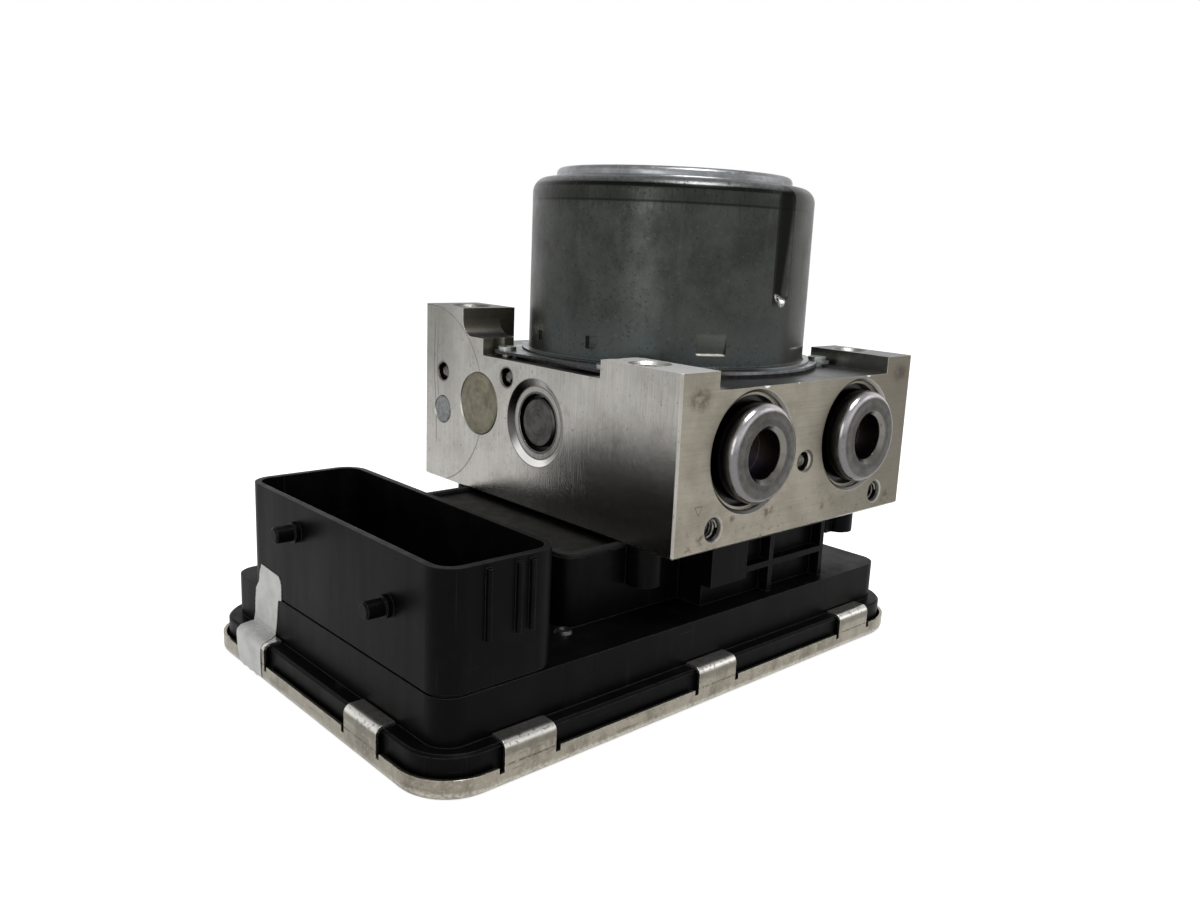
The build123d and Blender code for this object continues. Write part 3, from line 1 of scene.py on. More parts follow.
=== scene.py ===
import bpy
import math
from types import SimpleNamespace
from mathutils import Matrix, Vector


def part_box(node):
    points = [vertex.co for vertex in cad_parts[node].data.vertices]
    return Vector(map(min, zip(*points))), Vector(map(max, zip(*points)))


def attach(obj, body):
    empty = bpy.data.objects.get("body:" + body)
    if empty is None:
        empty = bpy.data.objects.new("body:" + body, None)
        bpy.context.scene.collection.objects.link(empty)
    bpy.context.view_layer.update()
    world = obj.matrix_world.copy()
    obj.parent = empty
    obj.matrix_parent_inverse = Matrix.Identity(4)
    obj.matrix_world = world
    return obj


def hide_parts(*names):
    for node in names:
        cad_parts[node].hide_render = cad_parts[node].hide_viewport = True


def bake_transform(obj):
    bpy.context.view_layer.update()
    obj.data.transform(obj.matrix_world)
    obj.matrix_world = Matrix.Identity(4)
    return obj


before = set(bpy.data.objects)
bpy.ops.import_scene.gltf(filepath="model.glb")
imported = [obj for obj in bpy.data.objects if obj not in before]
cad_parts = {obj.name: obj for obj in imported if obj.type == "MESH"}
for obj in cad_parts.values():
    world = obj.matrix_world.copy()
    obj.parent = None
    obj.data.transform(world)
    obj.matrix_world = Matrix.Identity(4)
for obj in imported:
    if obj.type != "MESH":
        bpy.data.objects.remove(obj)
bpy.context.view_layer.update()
MM = 0.001
DEGREES = 57.29578  # in a radian

# Block corner and motor axis in the part's frame, in millimetres.
CORNER = Vector((-15.6, -51.7, 39.0))
MOTOR_AXIS = Vector((33.05, 1.7, 0.0))

# Features of the block, in millimetres from its corner.
BRACKET_HOLES = ((14.2, 0, 5.3), (84.2, 0, 5.3))
FRONT_PLUG = (49.8, 0, 18.4)
LEFT_PLUGS = ((0, 97.4, 32.8), (0, 66.2, 35.0))
DAMPER_PLUG = (0, 79.2, 25.8)
PUMP_MOUTH = (0, 53.4, 24.3)
SEAT_X = {"left": 27.4, "right": 72.2}
SEAT_Z = 23.3
NEAR_LUG = (6.5, 14.0, 44.5)
CUTTER_CENTRE = (48.6, 53.4, 0)
SCRIBED_ROUND = (0, 103.5, 25.5)
SCRIBED_R = 26.4
TRIANGLE_X, TRIANGLE_Z = 8.3, 11.2
HOLE_R = 3.25
PLUG_HOLE_R = 2.52

# The axes that count in the distance from a line along X, Y or Z.
ABOUT = {"X": (0, 1, 1), "Y": (1, 0, 1), "Z": (1, 1, 0)}


def at(x, y, z):
    """A place measured from the block's near lower corner, in millimetres of the part's frame."""
    return Vector((x, y, z)) + CORNER


# ------------------------------------------------------------ nodes
# Each helper adds its nodes to the tree that its first socket belongs to.
def start_finish(name):
    """A new material, its shader and the place on the part in millimetres."""
    material = bpy.data.materials.new(name)
    material.use_nodes = True
    tree = material.node_tree
    place = tree.nodes.new("ShaderNodeTexCoord")
    to_mm = tree.nodes.new("ShaderNodeMapping")
    to_mm.inputs["Scale"].default_value = (1000, 1000, 1000)
    tree.links.new(place.outputs["Object"], to_mm.inputs["Vector"])
    return material, tree.nodes["Principled BSDF"], to_mm.outputs["Vector"]


def tree_of(*values):
    """The node tree of the first socket among some values."""
    return next(value.id_data for value in values if isinstance(value, bpy.types.NodeSocket))


def feed(socket, value):
    """Link a socket to the input, or set it to a number or colour."""
    if isinstance(value, bpy.types.NodeSocket):
        socket.id_data.links.new(value, socket)
    elif isinstance(value, (int, float)) and socket.type in ("RGBA", "VECTOR"):
        socket.default_value = (value, value, value, 1)[:len(socket.default_value)]
    else:
        socket.default_value = value


def grain(place, size, stretch=(1, 1, 1), detail=4, rough=0.55, shift=(0, 0, 0)):
    """Noise from 0 to 1 whose lumps are about size millimetres."""
    tree = tree_of(place)
    turn = tree.nodes.new("ShaderNodeMapping")
    turn.inputs["Location"].default_value = shift
    turn.inputs["Scale"].default_value = tuple(s / size for s in stretch)
    tree.links.new(place, turn.inputs["Vector"])
    noise = tree.nodes.new("ShaderNodeTexNoise")
    noise.inputs["Scale"].default_value = 1.0
    noise.inputs["Detail"].default_value = detail
    noise.inputs["Roughness"].default_value = rough
    tree.links.new(turn.outputs["Vector"], noise.inputs["Vector"])
    return noise.outputs["Fac"]


def sums(how, first, second=0.5):
    """One step of arithmetic."""
    node = tree_of(first, second).nodes.new("ShaderNodeMath")
    node.operation = how
    feed(node.inputs[0], first)
    feed(node.inputs[1], second)
    return node.outputs[0]


# Arithmetic on sockets and numbers.
def plus(first, second):
    return sums("ADD", first, second)


def minus(first, second):
    return sums("SUBTRACT", first, second)


def times(first, second):
    return sums("MULTIPLY", first, second)


def both(first, *more):
    """Where all the given shares are high."""
    share = first
    for other in more:
        share = times(share, other)
    return share


def either(first, *more):
    """Where any of the given shares is high."""
    share = first
    for other in more:
        share = sums("MAXIMUM", share, other)
    return share


def level(value, low, high, to_low=0.0, to_high=1.0):
    """Spread the stretch from low to high over a new range, and hold it outside."""
    node = tree_of(value).nodes.new("ShaderNodeMapRange")
    node.interpolation_type = "SMOOTHSTEP"
    feed(node.inputs["Value"], value)
    node.inputs["From Min"].default_value = low
    node.inputs["From Max"].default_value = high
    node.inputs["To Min"].default_value = to_low
    node.inputs["To Max"].default_value = to_high
    return node.outputs["Result"]


def line_at(value, middle, half, soft):
    """A thin band where a value passes through its middle."""
    return level(sums("ABSOLUTE", minus(value, middle)), half + soft, half)


def between(value, low, high, soft):
    """A band from low to high, each end soft."""
    return both(level(value, low - soft, low + soft), level(value, high + soft, high - soft))


def below(value, limit, soft=0.3):
    """High under a limit."""
    return level(value, limit + soft, limit)


def blend(share, under, over):
    """Mix two colours."""
    node = tree_of(share).nodes.new("ShaderNodeMix")
    node.data_type = "RGBA"
    node.blend_type = "MIX"
    feed(node.inputs["Factor"], share)
    feed(node.inputs["A"], under if not isinstance(under, tuple) else (*under, 1))
    feed(node.inputs["B"], over if not isinstance(over, tuple) else (*over, 1))
    return node.outputs["Result"]


def lay(under, over, *shares):
    """Lay a colour over another where all the given shares are high."""
    return blend(both(*shares), under, over)


def parts_of(vector):
    """A vector's three numbers."""
    node = tree_of(vector).nodes.new("ShaderNodeSeparateXYZ")
    feed(node.inputs[0], vector)
    return node.outputs[0], node.outputs[1], node.outputs[2]


def facing(place):
    """The surface's own direction, apart from bump."""
    node = tree_of(place).nodes.new("ShaderNodeNewGeometry")
    return parts_of(node.outputs["True Normal"])


def shifted(place, origin):
    """The same place counted from another point, in millimetres."""
    tree = tree_of(place)
    node = tree.nodes.new("ShaderNodeMapping")
    node.inputs["Location"].default_value = tuple(-c for c in origin)
    tree.links.new(place, node.inputs["Vector"])
    return node.outputs["Vector"]


def distance(place, centre, squash=(1, 1, 1)):
    """Millimetres from a point, with each axis weighed by squash."""
    tree = tree_of(place)
    shift = tree.nodes.new("ShaderNodeMapping")
    shift.inputs["Location"].default_value = tuple(-c * s for c, s in zip(centre, squash))
    shift.inputs["Scale"].default_value = squash
    tree.links.new(place, shift.inputs["Vector"])
    node = tree.nodes.new("ShaderNodeVectorMath")
    node.operation = "LENGTH"
    tree.links.new(shift.outputs["Vector"], node.inputs[0])
    return node.outputs["Value"]


def softened(tree, width):
    """The surface's direction with its edges rounded over a width in millimetres."""
    soft = tree.nodes.new("ShaderNodeBevel")
    soft.samples = 4
    soft.inputs["Radius"].default_value = width * MM
    return soft.outputs["Normal"]


def near_edge(place, width):
    """High on the edges, out to about a width in millimetres."""
    tree = tree_of(place)
    plain = tree.nodes.new("ShaderNodeNewGeometry")
    turn = tree.nodes.new("ShaderNodeVectorMath")
    turn.operation = "DOT_PRODUCT"
    tree.links.new(softened(tree, width), turn.inputs[0])
    tree.links.new(plain.outputs["Normal"], turn.inputs[1])
    return level(turn.outputs["Value"], 0.99, 0.88)


def relief(shader, height, strength, depth=0.1, edge=0.0):
    """Bump of depth millimetres, over edges rounded in shading by edge millimetres."""
    tree = shader.id_data
    bump = tree.nodes.new("ShaderNodeBump")
    bump.inputs["Strength"].default_value = strength
    bump.inputs["Distance"].default_value = depth * MM
    feed(bump.inputs["Height"], height)
    if edge:
        tree.links.new(softened(tree, edge), bump.inputs["Normal"])
    tree.links.new(bump.outputs["Normal"], shader.inputs["Normal"])


def coat(shader, colour, rough, metallic=0.0):
    """Give a shader its colour, roughness and metallic share."""
    feed(shader.inputs["Base Color"], colour)
    feed(shader.inputs["Roughness"], rough)
    shader.inputs["Metallic"].default_value = metallic


# ------------------------------------------------------------ finishes
def cover_sheet():
    """Pressed sheet: satin, with fine rolling lines, rubs, run stains, a scribed line, painted
    shade under the tabs' bends and painted highlights on the bends and the cut edge.
    """
    material, shader, place = start_finish("cover_sheet")
    z = parts_of(place)[2]
    rolled = grain(place, 0.30, stretch=(1, 1, 0.05), detail=3)
    cloud = grain(place, 5.0, stretch=(1, 1, 0.6), detail=6, rough=0.6)
    fine = grain(place, 0.9, detail=5)
    speck = level(grain(place, 0.7, detail=2, shift=(5, 2, 9)), 0.66, 0.74)
    run = grain(place, 2.2, stretch=(0.22, 0.22, 2.2), detail=5, rough=0.65)
    outward = level(sums("ABSOLUTE", facing(place)[2]), 0.9, 0.6)
    colour = blend(level(cloud, 0.40, 0.68), (0.305, 0.283, 0.228), (0.185, 0.168, 0.130))
    colour = lay(colour, (0.50, 0.48, 0.43), level(fine, 0.52, 0.7), 0.3)
    colour = lay(colour, (0.06, 0.05, 0.04), speck, 0.6)
    # painted shade under the tabs' bends, and a painted highlight on them
    colour = lay(colour, (0.13, 0.125, 0.11), between(z, 7.4, 8.9, 0.5), outward, 0.6)
    bend = between(z, 9.2, 10.9, 0.35)
    colour = lay(colour, (0.88, 0.87, 0.84), bend, level(fine, 0.25, 0.5), 0.75)
    colour = lay(colour, (0.10, 0.080, 0.055), level(run, 0.56, 0.70), outward, 0.5)
    scribed = both(line_at(z, 5.3, 0.10, 0.28), outward, level(fine, 0.40, 0.58))
    colour = lay(colour, (0.055, 0.045, 0.035), scribed, 0.75)
    # a painted highlight along the sheet's cut edge; its foot is rubbed bare
    colour = lay(colour, (0.78, 0.75, 0.68), near_edge(place, 0.25), level(fine, 0.35, 0.55), 0.7)
    colour = lay(colour, (0.62, 0.60, 0.56), level(z, 2.6, 1.6), level(fine, 0.3, 0.6), 0.5)
    coat(shader, colour, level(cloud, 0.3, 0.75, 0.18, 0.26), metallic=0.95)
    relief(shader, plus(rolled, times(cloud, 3.0)), 0.35, 0.05, edge=0.35)
    return material


def black_moulding():
    """Glass-filled black plastic: satin skin, upright flow lines, scratches, rubbed edges
    lightened as a painted highlight.
    """
    material, shader, place = start_finish("black_moulding")
    skin = grain(place, 0.22, detail=2)
    flow = grain(place, 4.0, stretch=(1, 1, 0.10), detail=5)
    dust = level(grain(place, 12.0, detail=6, rough=0.68), 0.46, 0.72)
    upright = grain(place, 0.55, stretch=(1, 1, 0.03), detail=1, shift=(3, 8, 1))
    flat = grain(place, 0.6, stretch=(0.05, 0.05, 1), detail=1, shift=(7, 1, 4))
    scratches = either(level(upright, 0.70, 0.76), level(flat, 0.72, 0.77))
    colour = blend(both(dust, 0.6), (0.0018, 0.0018, 0.0020), (0.0062, 0.0058, 0.0055))
    colour = lay(colour, (0.030, 0.029, 0.028), scratches, 0.25)
    # rubbed edges, lightened in patches as a painted highlight
    rubbed = both(near_edge(place, 0.28), level(grain(place, 1.6, detail=4), 0.25, 0.5))
    colour = lay(colour, (0.060, 0.059, 0.058), rubbed, 0.8)
    coat(shader, colour, level(flow, 0.3, 0.7, 0.35, 0.44))
    shader.inputs["Specular IOR Level"].default_value = 0.055
    relief(shader, plus(times(skin, 0.5), times(flow, 0.25)), 0.30, 0.06, edge=0.3)
    return material


def block_places(place):
    """What the block's finish goes by: distances from its corner, its faces, mottling."""
    corner = shifted(place, CORNER)
    x, y, z = parts_of(corner)
    nx, ny, nz = facing(place)
    return SimpleNamespace(
        place=place, corner=corner, x=x, y=y, z=z,
        side=level(sums("ABSOLUTE", nx), 0.6, 0.9), front=level(sums("ABSOLUTE", ny), 0.6, 0.9),
        upward=level(nz, 0.6, 0.9), left=level(nx, -0.6, -0.9),
        mottle=grain(place, 2.4, detail=6, rough=0.65))


def block_ground(on, patch, brushed, near_lug_highlight):
    """Each face's own tone under the cutter's hairlines."""
    tone = level(patch, 0.36, 0.68)
    streak = grain(on.place, 0.7, stretch=(1, 1, 0.03), detail=4, shift=(2, 5, 3))
    side = blend(tone, (0.50, 0.485, 0.455), (0.41, 0.397, 0.368))
    side = lay(side, (0.30, 0.292, 0.27), level(streak, 0.45, 0.75), 0.12)
    side = lay(side, (0.20, 0.197, 0.175), level(on.y, 86.0, 98.0), level(on.z, 22.0, 38.0),
               level(on.mottle, 0.2, 0.5, 0.5, 1.0), 0.55)
    front = blend(tone, (0.34, 0.312, 0.255), (0.26, 0.237, 0.19))
    front = lay(front, (0.36, 0.34, 0.29), level(on.mottle, 0.5, 0.72), 0.35)
    front = lay(front, (0.14, 0.125, 0.092), level(on.x, 38.0, 92.0, 0.0, 0.8))
    top = blend(tone, (0.17, 0.17, 0.172), (0.10, 0.10, 0.102))
    # a painted highlight on the near lug's top
    top = lay(top, (0.85, 0.85, 0.84), near_lug_highlight)
    # painted shade on the tall lugs' tops
    top = lay(top, (0.035, 0.035, 0.033), level(on.z, 46.0, 50.0), 0.85)
    colour = lay(side, front, on.front)
    colour = lay(colour, top, on.upward)
    hairs = level(brushed, 0.62, 0.36, 0.0, 0.16)
    return lay(colour, (0.10, 0.096, 0.086), hairs, either(on.side, on.front))


# Brown spots low on the front, grey rubs on the lugs' fronts and bright dings on the top edge,
# each with its size.
FRONT_SPOTS = (((35.0, 0, 7.2), 3.2), ((25.0, 0, 4.6), 1.6), ((21.0, 0, 7.2), 1.5),
               ((63.5, 0, 5.6), 2.6), ((90.3, 0, 3.0), 3.4), ((58.8, 0, 4.2), 1.5),
               ((9.5, 0, 3.5), 2.2))
LUG_RUBS = (((6.6, 0, 38.2), 5.4), ((91.8, 0, 39.6), 5.2))
DINGS = (((31.1, 0, 39.8), 1.0), ((75.8, 0, 39.8), 0.8), ((44.0, 0, 39.8), 0.35))


def block_stains(on, colour):
    """Dark specks everywhere, stains and rubs on the front, smears and nicks on the sides."""
    speck = level(grain(on.place, 0.75, detail=2, shift=(1, 4, 8)), 0.67, 0.74)
    colour = lay(colour, (0.055, 0.048, 0.04), speck, 0.7)
    stain = level(grain(on.place, 2.0, detail=6, rough=0.7), 0.56, 0.68)
    colour = lay(colour, (0.11, 0.075, 0.045), stain, level(on.z, 15.0, 1.0), on.front, 0.6)
    for centre, size in FRONT_SPOTS:
        spot = level(distance(on.corner, centre), size, size * 0.2)
        colour = lay(colour, (0.07, 0.045, 0.03), spot, level(on.mottle, 0.42, 0.60), on.front,
                     0.75)
    for centre, size in LUG_RUBS:
        rub = level(distance(on.corner, centre, squash=(1, 1, 1.35)), size, size * 0.25)
        colour = lay(colour, (0.085, 0.062, 0.055), rub, level(on.mottle, 0.30, 0.62), on.front,
                     0.85)
    smear = level(grain(on.place, 4.5, detail=6, rough=0.75, shift=(3, 9, 4)), 0.54, 0.70)
    colour = lay(colour, (0.15, 0.125, 0.095), smear, on.side, 0.28)
    nick = grain(on.place, 1.3, stretch=(1, 1, 0.6), detail=3, shift=(9, 2, 6))
    return lay(colour, (0.07, 0.06, 0.05), level(nick, 0.685, 0.72), on.side, 0.65)


def scribed_marks(on):
    """The scribed round and two upright scratches on the left face."""
    from_round = distance(on.corner, SCRIBED_ROUND, squash=ABOUT["X"])
    round_line = line_at(from_round, SCRIBED_R, 0.10, 0.22)
    wander = plus(on.y, times(sums("SINE", times(on.z, 0.13)), 0.7))
    long_scratch = both(line_at(wander, 101.4, 0.08, 0.3), between(on.z, 11.0, 47.0, 2.0))
    short_scratch = both(line_at(wander, 99.8, 0.05, 0.22), between(on.z, 19.0, 44.0, 3.0))
    marks = either(round_line, either(long_scratch, short_scratch))
    return both(marks, on.left, level(on.mottle, 0.25, 0.5, 0.35, 1.0))


def triangle_mark(on):
    """A small triangle by the left bracket hole."""
    across = minus(on.x, TRIANGLE_X)
    height = minus(on.z, TRIANGLE_Z)
    flanks = minus(times(sums("ABSOLUTE", across), 0.866), times(height, 0.5))
    return both(line_at(either(height, flanks), 0.75, 0.07, 0.12), on.front)


def block_recess_shade(on):
    """Where painted shade lies: down in the holes of the front and the left, and in the two seats.
    """
    wells = []
    for holes, axis, depth, radius in ((BRACKET_HOLES, "Y", on.y, HOLE_R),
                                       ((FRONT_PLUG,), "Y", on.y, PLUG_HOLE_R),
                                       (LEFT_PLUGS, "X", on.x, PLUG_HOLE_R)):
        for centre in holes:
            inside = below(distance(on.corner, centre, squash=ABOUT[axis]), radius, 0.25)
            wells.append(both(inside, between(depth, 0.35, 14.0, 0.2)))
    for seat_x in SEAT_X.values():
        inside = level(distance(on.corner, (seat_x, 0, SEAT_Z), squash=ABOUT["Y"]), 15.4, 15.2)
        floor = both(inside, between(on.y, 2.0, 6.0, 0.15))
        wall = both(inside, between(on.y, 0.75, 1.45, 0.1), 0.6)
        wells.append(either(floor, wall))
    return either(*wells)


def pump_mouth(on, colour):
    """Dark rings on the pump mouth's turned steps, painted shade on the far upper side of its
    flare, and a painted highlight in a bright arc on its far lower side.
    """
    radius = distance(on.corner, PUMP_MOUTH, squash=ABOUT["X"])
    across = minus(on.y, PUMP_MOUTH[1])
    height = minus(on.z, PUMP_MOUTH[2])
    outer = below(on.x, 3.0)
    far_up = plus(times(across, 0.8), times(height, 0.42))
    far_down = minus(times(across, 0.45), times(height, 0.9))
    # a painted highlight in a bright arc on the flare
    bright = both(between(radius, 10.1, 11.85, 0.1), level(far_down, 5.0, 8.5), outer)
    colour = lay(colour, (0.90, 0.89, 0.87), bright, 0.85)
    # painted shade on the flare's far upper side; dark rings on the turned steps
    flare = both(between(radius, 10.0, 12.0, 0.08), level(far_up, 1.5, 6.5), 0.9)
    steps = either(both(between(radius, 7.0, 8.5, 0.15), 0.85),
                   both(line_at(radius, 9.95, 0.12, 0.15), 0.8),
                   both(line_at(radius, 12.0, 0.06, 0.16), 0.6))
    colour = lay(colour, (0.030, 0.028, 0.027), either(flare, steps), outer)
    return lay(colour, (0.16, 0.155, 0.150), between(radius, 8.5, 9.8, 0.1), outer, 0.45)


def machined_aluminium():
    """Milled block: each face cut its own way, stains, marks, painted shade in the holes and
    seats, painted light and shade on the lugs' tops and the pump mouth, and rubbed edges.
    """
    material, shader, place = start_finish("machined_aluminium")
    on = block_places(place)
    patch = grain(place, 13.0, detail=6, rough=0.6)
    hair_side = grain(place, 0.42, stretch=(1, 1, 0.018), detail=4, rough=0.7)
    hair_front = grain(place, 0.50, stretch=(0.03, 1, 1), detail=4, rough=0.7)
    brushed = plus(times(hair_side, on.side), times(hair_front, on.front))
    near_lug_highlight = level(distance(on.corner, NEAR_LUG, squash=(1, 0.7, 1)), 16.0, 11.0)
    marks = scribed_marks(on)
    painted_shade = block_recess_shade(on)
    colour = block_stains(on, block_ground(on, patch, brushed, near_lug_highlight))
    colour = lay(colour, (0.11, 0.105, 0.095), marks, 0.6)
    colour = lay(colour, (0.10, 0.085, 0.065), triangle_mark(on), 0.7)
    for centre in (*LEFT_PLUGS, FRONT_PLUG):
        # a dark ring round each ball plug: rust, and painted shade in its countersink
        rust_and_shade_ring = line_at(distance(on.corner, centre), 2.55, 0.30, 0.45)
        colour = lay(colour, (0.035, 0.027, 0.022), rust_and_shade_ring,
                     level(on.mottle, 0.25, 0.5, 0.5, 1.0), 0.8)
    # painted shade down in the holes and the seats
    colour = lay(colour, (0.022, 0.020, 0.018), painted_shade,
                 level(on.mottle, 0.2, 0.5, 0.75, 1.0), 0.92)
    colour = pump_mouth(on, colour)
    dings = (level(distance(on.corner, centre, squash=(0.75, 1, 1.5)), size, size * 0.55)
             for centre, size in DINGS)
    colour = lay(colour, (0.92, 0.92, 0.90), either(*dings))
    colour = lay(colour, (0.80, 0.80, 0.77), near_edge(place, 0.22),
                 level(on.mottle, 0.30, 0.50), level(painted_shade, 0.5, 0.0), 0.55)
    rough = minus(level(patch, 0.3, 0.75, 0.37, 0.40), times(on.side, 0.15))
    coat(shader, colour, plus(rough, both(near_lug_highlight, on.upward, 0.2)), metallic=1.0)
    arcs = sums("SINE", times(distance(on.corner, CUTTER_CENTRE, squash=ABOUT["Z"]), 4.6))
    lines = plus(brushed, times(on.mottle, 0.5))
    lines = plus(lines, both(arcs, on.upward, 0.35))
    relief(shader, minus(lines, times(marks, 1.5)), 0.7, 0.05, edge=0.3)
    return material


# Heights on the can are from the block's foot. Angles are about the motor's axis, in degrees,
# 0 along X and -90 to the front.
RING_LINES = ((83.5, 0.14, 0.7), (87.5, 0.36, 0.95))  # height, half width, strength
CHANNEL_FOOT, CHANNEL_TOP = 58.5, 88.2
# where a glint is painted at the channel's foot
FOOT_GLINT = (2.2, -39.2, 59.6)
WINDOW_LEFT, WINDOW_RIGHT = -124.3, -112.9
WINDOW_FOOT, WINDOW_TOP = 45.6, 50.8
SLIT_Z = 45.4
PUNCH_HOLLOWS = (-164.6, 164.5)


def can_places(place):
    """What the can's finish goes by: height, angle and radius about its axis, and smudges."""
    axis = shifted(place, (MOTOR_AXIS.x, MOTOR_AXIS.y, CORNER.z))
    x, y, z = parts_of(axis)
    return SimpleNamespace(
        place=place, axis=axis, x=x, z=z, angle=times(sums("ARCTAN2", y, x), DEGREES),
        radius=distance(axis, (0, 0, 0), squash=ABOUT["Z"]),
        smudge=grain(place, 12.0, detail=6, rough=0.66),
        streak=grain(place, 5.0, stretch=(1, 1, 0.25), detail=5, shift=(4, 4, 1)),
        fine=grain(place, 1.2, detail=6, rough=0.6))


def can_skin(on):
    """Grey plating, bluer low down, with grit toward both sides and the foot."""
    colour = blend(level(on.smudge, 0.34, 0.70), (0.060, 0.064, 0.057), (0.033, 0.035, 0.032))
    colour = lay(colour, (0.072, 0.076, 0.073), level(on.streak, 0.50, 0.74), 0.4)
    colour = lay(colour, (0.072, 0.088, 0.092), level(on.z, 60.0, 44.0),
                 level(on.smudge, 0.35, 0.6), 0.55)
    colour = lay(colour, (0.15, 0.155, 0.148), level(on.fine, 0.56, 0.74), 0.20)
    grit = level(grain(on.place, 1.1, detail=6, rough=0.75, shift=(6, 3, 2)), 0.55, 0.66)
    spread = either(level(on.x, -24.0, -37.0), level(on.angle, -84.0, -78.0),
                    level(on.z, 54.0, 44.0))
    return lay(colour, (0.013, 0.012, 0.010), grit, level(spread, 0.0, 1.0, 0.25, 1.0), 0.6)


def can_shoulder(on, colour, shoulder_pits):
    """Dark band between two ring lines, a painted highlight on the rounding above it, a darker
    mottled right front and a painted highlight on the dome rim.
    """
    colour = lay(colour, (0.016, 0.017, 0.016), between(on.z, 83.2, 87.8, 0.9), 0.45)
    # a painted highlight on the shoulder's rounding
    colour = lay(colour, (0.20, 0.204, 0.205), between(on.z, 88.2, 93.0, 0.5),
                 level(on.fine, 0.3, 0.6, 0.4, 1.0), 0.85)
    for height, half, share in RING_LINES:
        colour = lay(colour, (0.008, 0.008, 0.008), line_at(on.z, height, half, 0.30), share)
    pits = level(grain(on.place, 0.8, detail=3), 0.66, 0.72)
    colour = lay(colour, (0.012, 0.011, 0.010), either(pits, shoulder_pits), 0.7)
    drag = level(grain(on.place, 0.5, stretch=(1, 1, 0.08), detail=3), 0.52, 0.64)
    colour = lay(colour, (0.012, 0.012, 0.011), drag, between(on.z, 81.0, 88.2, 1.5), 0.28)
    # darker and mottled on the right front
    colour = lay(colour, (0.030, 0.028, 0.022), between(on.angle, -84.0, -40.0, 4.0),
                 level(on.fine, 0.35, 0.6, 0.5, 1.0), 0.75)
    # a painted highlight on the dome's rim
    dome_highlight = blend(level(on.smudge, 0.4, 0.65), (0.34, 0.345, 0.355), (0.20, 0.205, 0.215))
    return lay(colour, dome_highlight, level(on.z, 88.9, 90.3), level(on.radius, 37.5, 36.0), 0.9)


def can_channel(on, colour):
    """The pressed channel with painted shade in it, a painted reflection in a strip on its right
    and a painted glint at its foot.
    """
    # painted shade down in the pressed channel
    widening = minus(on.angle, times(minus(on.z, 60.0), 0.075))
    channel_shade = both(level(on.angle, -93.0, -92.2), level(widening, -83.4, -84.4),
                  between(on.z, CHANNEL_FOOT, CHANNEL_TOP, 1.0))
    colour = lay(colour, (0.007, 0.007, 0.0065), channel_shade, 0.92)
    # a painted reflection in a lighter strip right of the channel
    reflection_band = both(between(on.angle, -80.5, -72.5, 1.5), between(on.z, 50.0, 82.0, 6.0))
    colour = lay(colour, (0.10, 0.098, 0.088), reflection_band, 0.3)
    # a painted glint at the channel's foot
    foot_glint = level(distance(on.axis, FOOT_GLINT), 2.3, 1.2)
    return lay(colour, (0.80, 0.80, 0.78), foot_glint, level(on.fine, 0.40, 0.52))


def can_foot(on, colour):
    """Low on the can: a scrape, the pale tab window and a painted highlight on its slit, punch
    hollows, a painted highlight on the lip and painted shade with flecks of rust on its flank.
    """
    scrape = both(line_at(on.z, 46.4, 0.12, 0.25), between(on.angle, -76.0, -56.0, 3.0),
                  level(on.streak, 0.35, 0.6))
    colour = lay(colour, (0.50, 0.50, 0.48), scrape, 0.8)
    window = both(between(on.angle, WINDOW_LEFT, WINDOW_RIGHT, 0.8),
                  between(on.z, WINDOW_FOOT, WINDOW_TOP, 0.6))
    colour = lay(colour, (0.15, 0.15, 0.135), window, 0.35)
    # a painted highlight along the window's slit
    slit_highlight = both(between(on.angle, -124.0, -113.2, 0.5), line_at(on.z, SLIT_Z, 0.14, 0.2))
    colour = lay(colour, (0.62, 0.61, 0.55), slit_highlight, 0.85)
    for turn in PUNCH_HOLLOWS:
        hollow = both(between(on.angle, turn - 2.0, turn + 2.0, 0.6),
                      between(on.z, 44.0, 46.6, 0.3))
        colour = lay(colour, (0.03, 0.02, 0.014), hollow, level(on.fine, 0.4, 0.6), 0.6)
    # a painted highlight on the foot's lip
    lip = level(on.radius, 40.6, 41.0)
    colour = lay(colour, (0.30, 0.31, 0.31), lip, 0.8)
    nz = facing(on.place)[2]
    # painted shade with flecks of rust on the lip's flank on the left
    rust = blend(level(on.fine, 0.58, 0.66), (0.014, 0.013, 0.012), (0.12, 0.07, 0.045))
    flank = level(sums("ABSOLUTE", nz), 0.8, 0.5)
    return lay(colour, rust, lip, flank, level(on.x, 0.0, -10.0), 0.92)


def motor_steel():
    """Plated can, smudged and worn from its foot to its dome, with painted highlights, reflection
    and shade.
    """
    material, shader, place = start_finish("motor_steel")
    on = can_places(place)
    shoulder_pits = both(level(on.z, 82.0, 88.0), level(grain(place, 0.9, detail=3), 0.60, 0.68))
    colour = can_shoulder(on, can_skin(on), shoulder_pits)
    colour = can_foot(on, can_channel(on, colour))
    coat(shader, colour, level(on.smudge, 0.3, 0.75, 0.29, 0.40), metallic=0.95)
    drawn = grain(place, 0.4, stretch=(1, 1, 0.03), detail=3)
    height = plus(times(drawn, 0.7), on.fine)
    relief(shader, minus(height, times(shoulder_pits, 2.0)), 0.5, 0.05, edge=0.25)
    return material


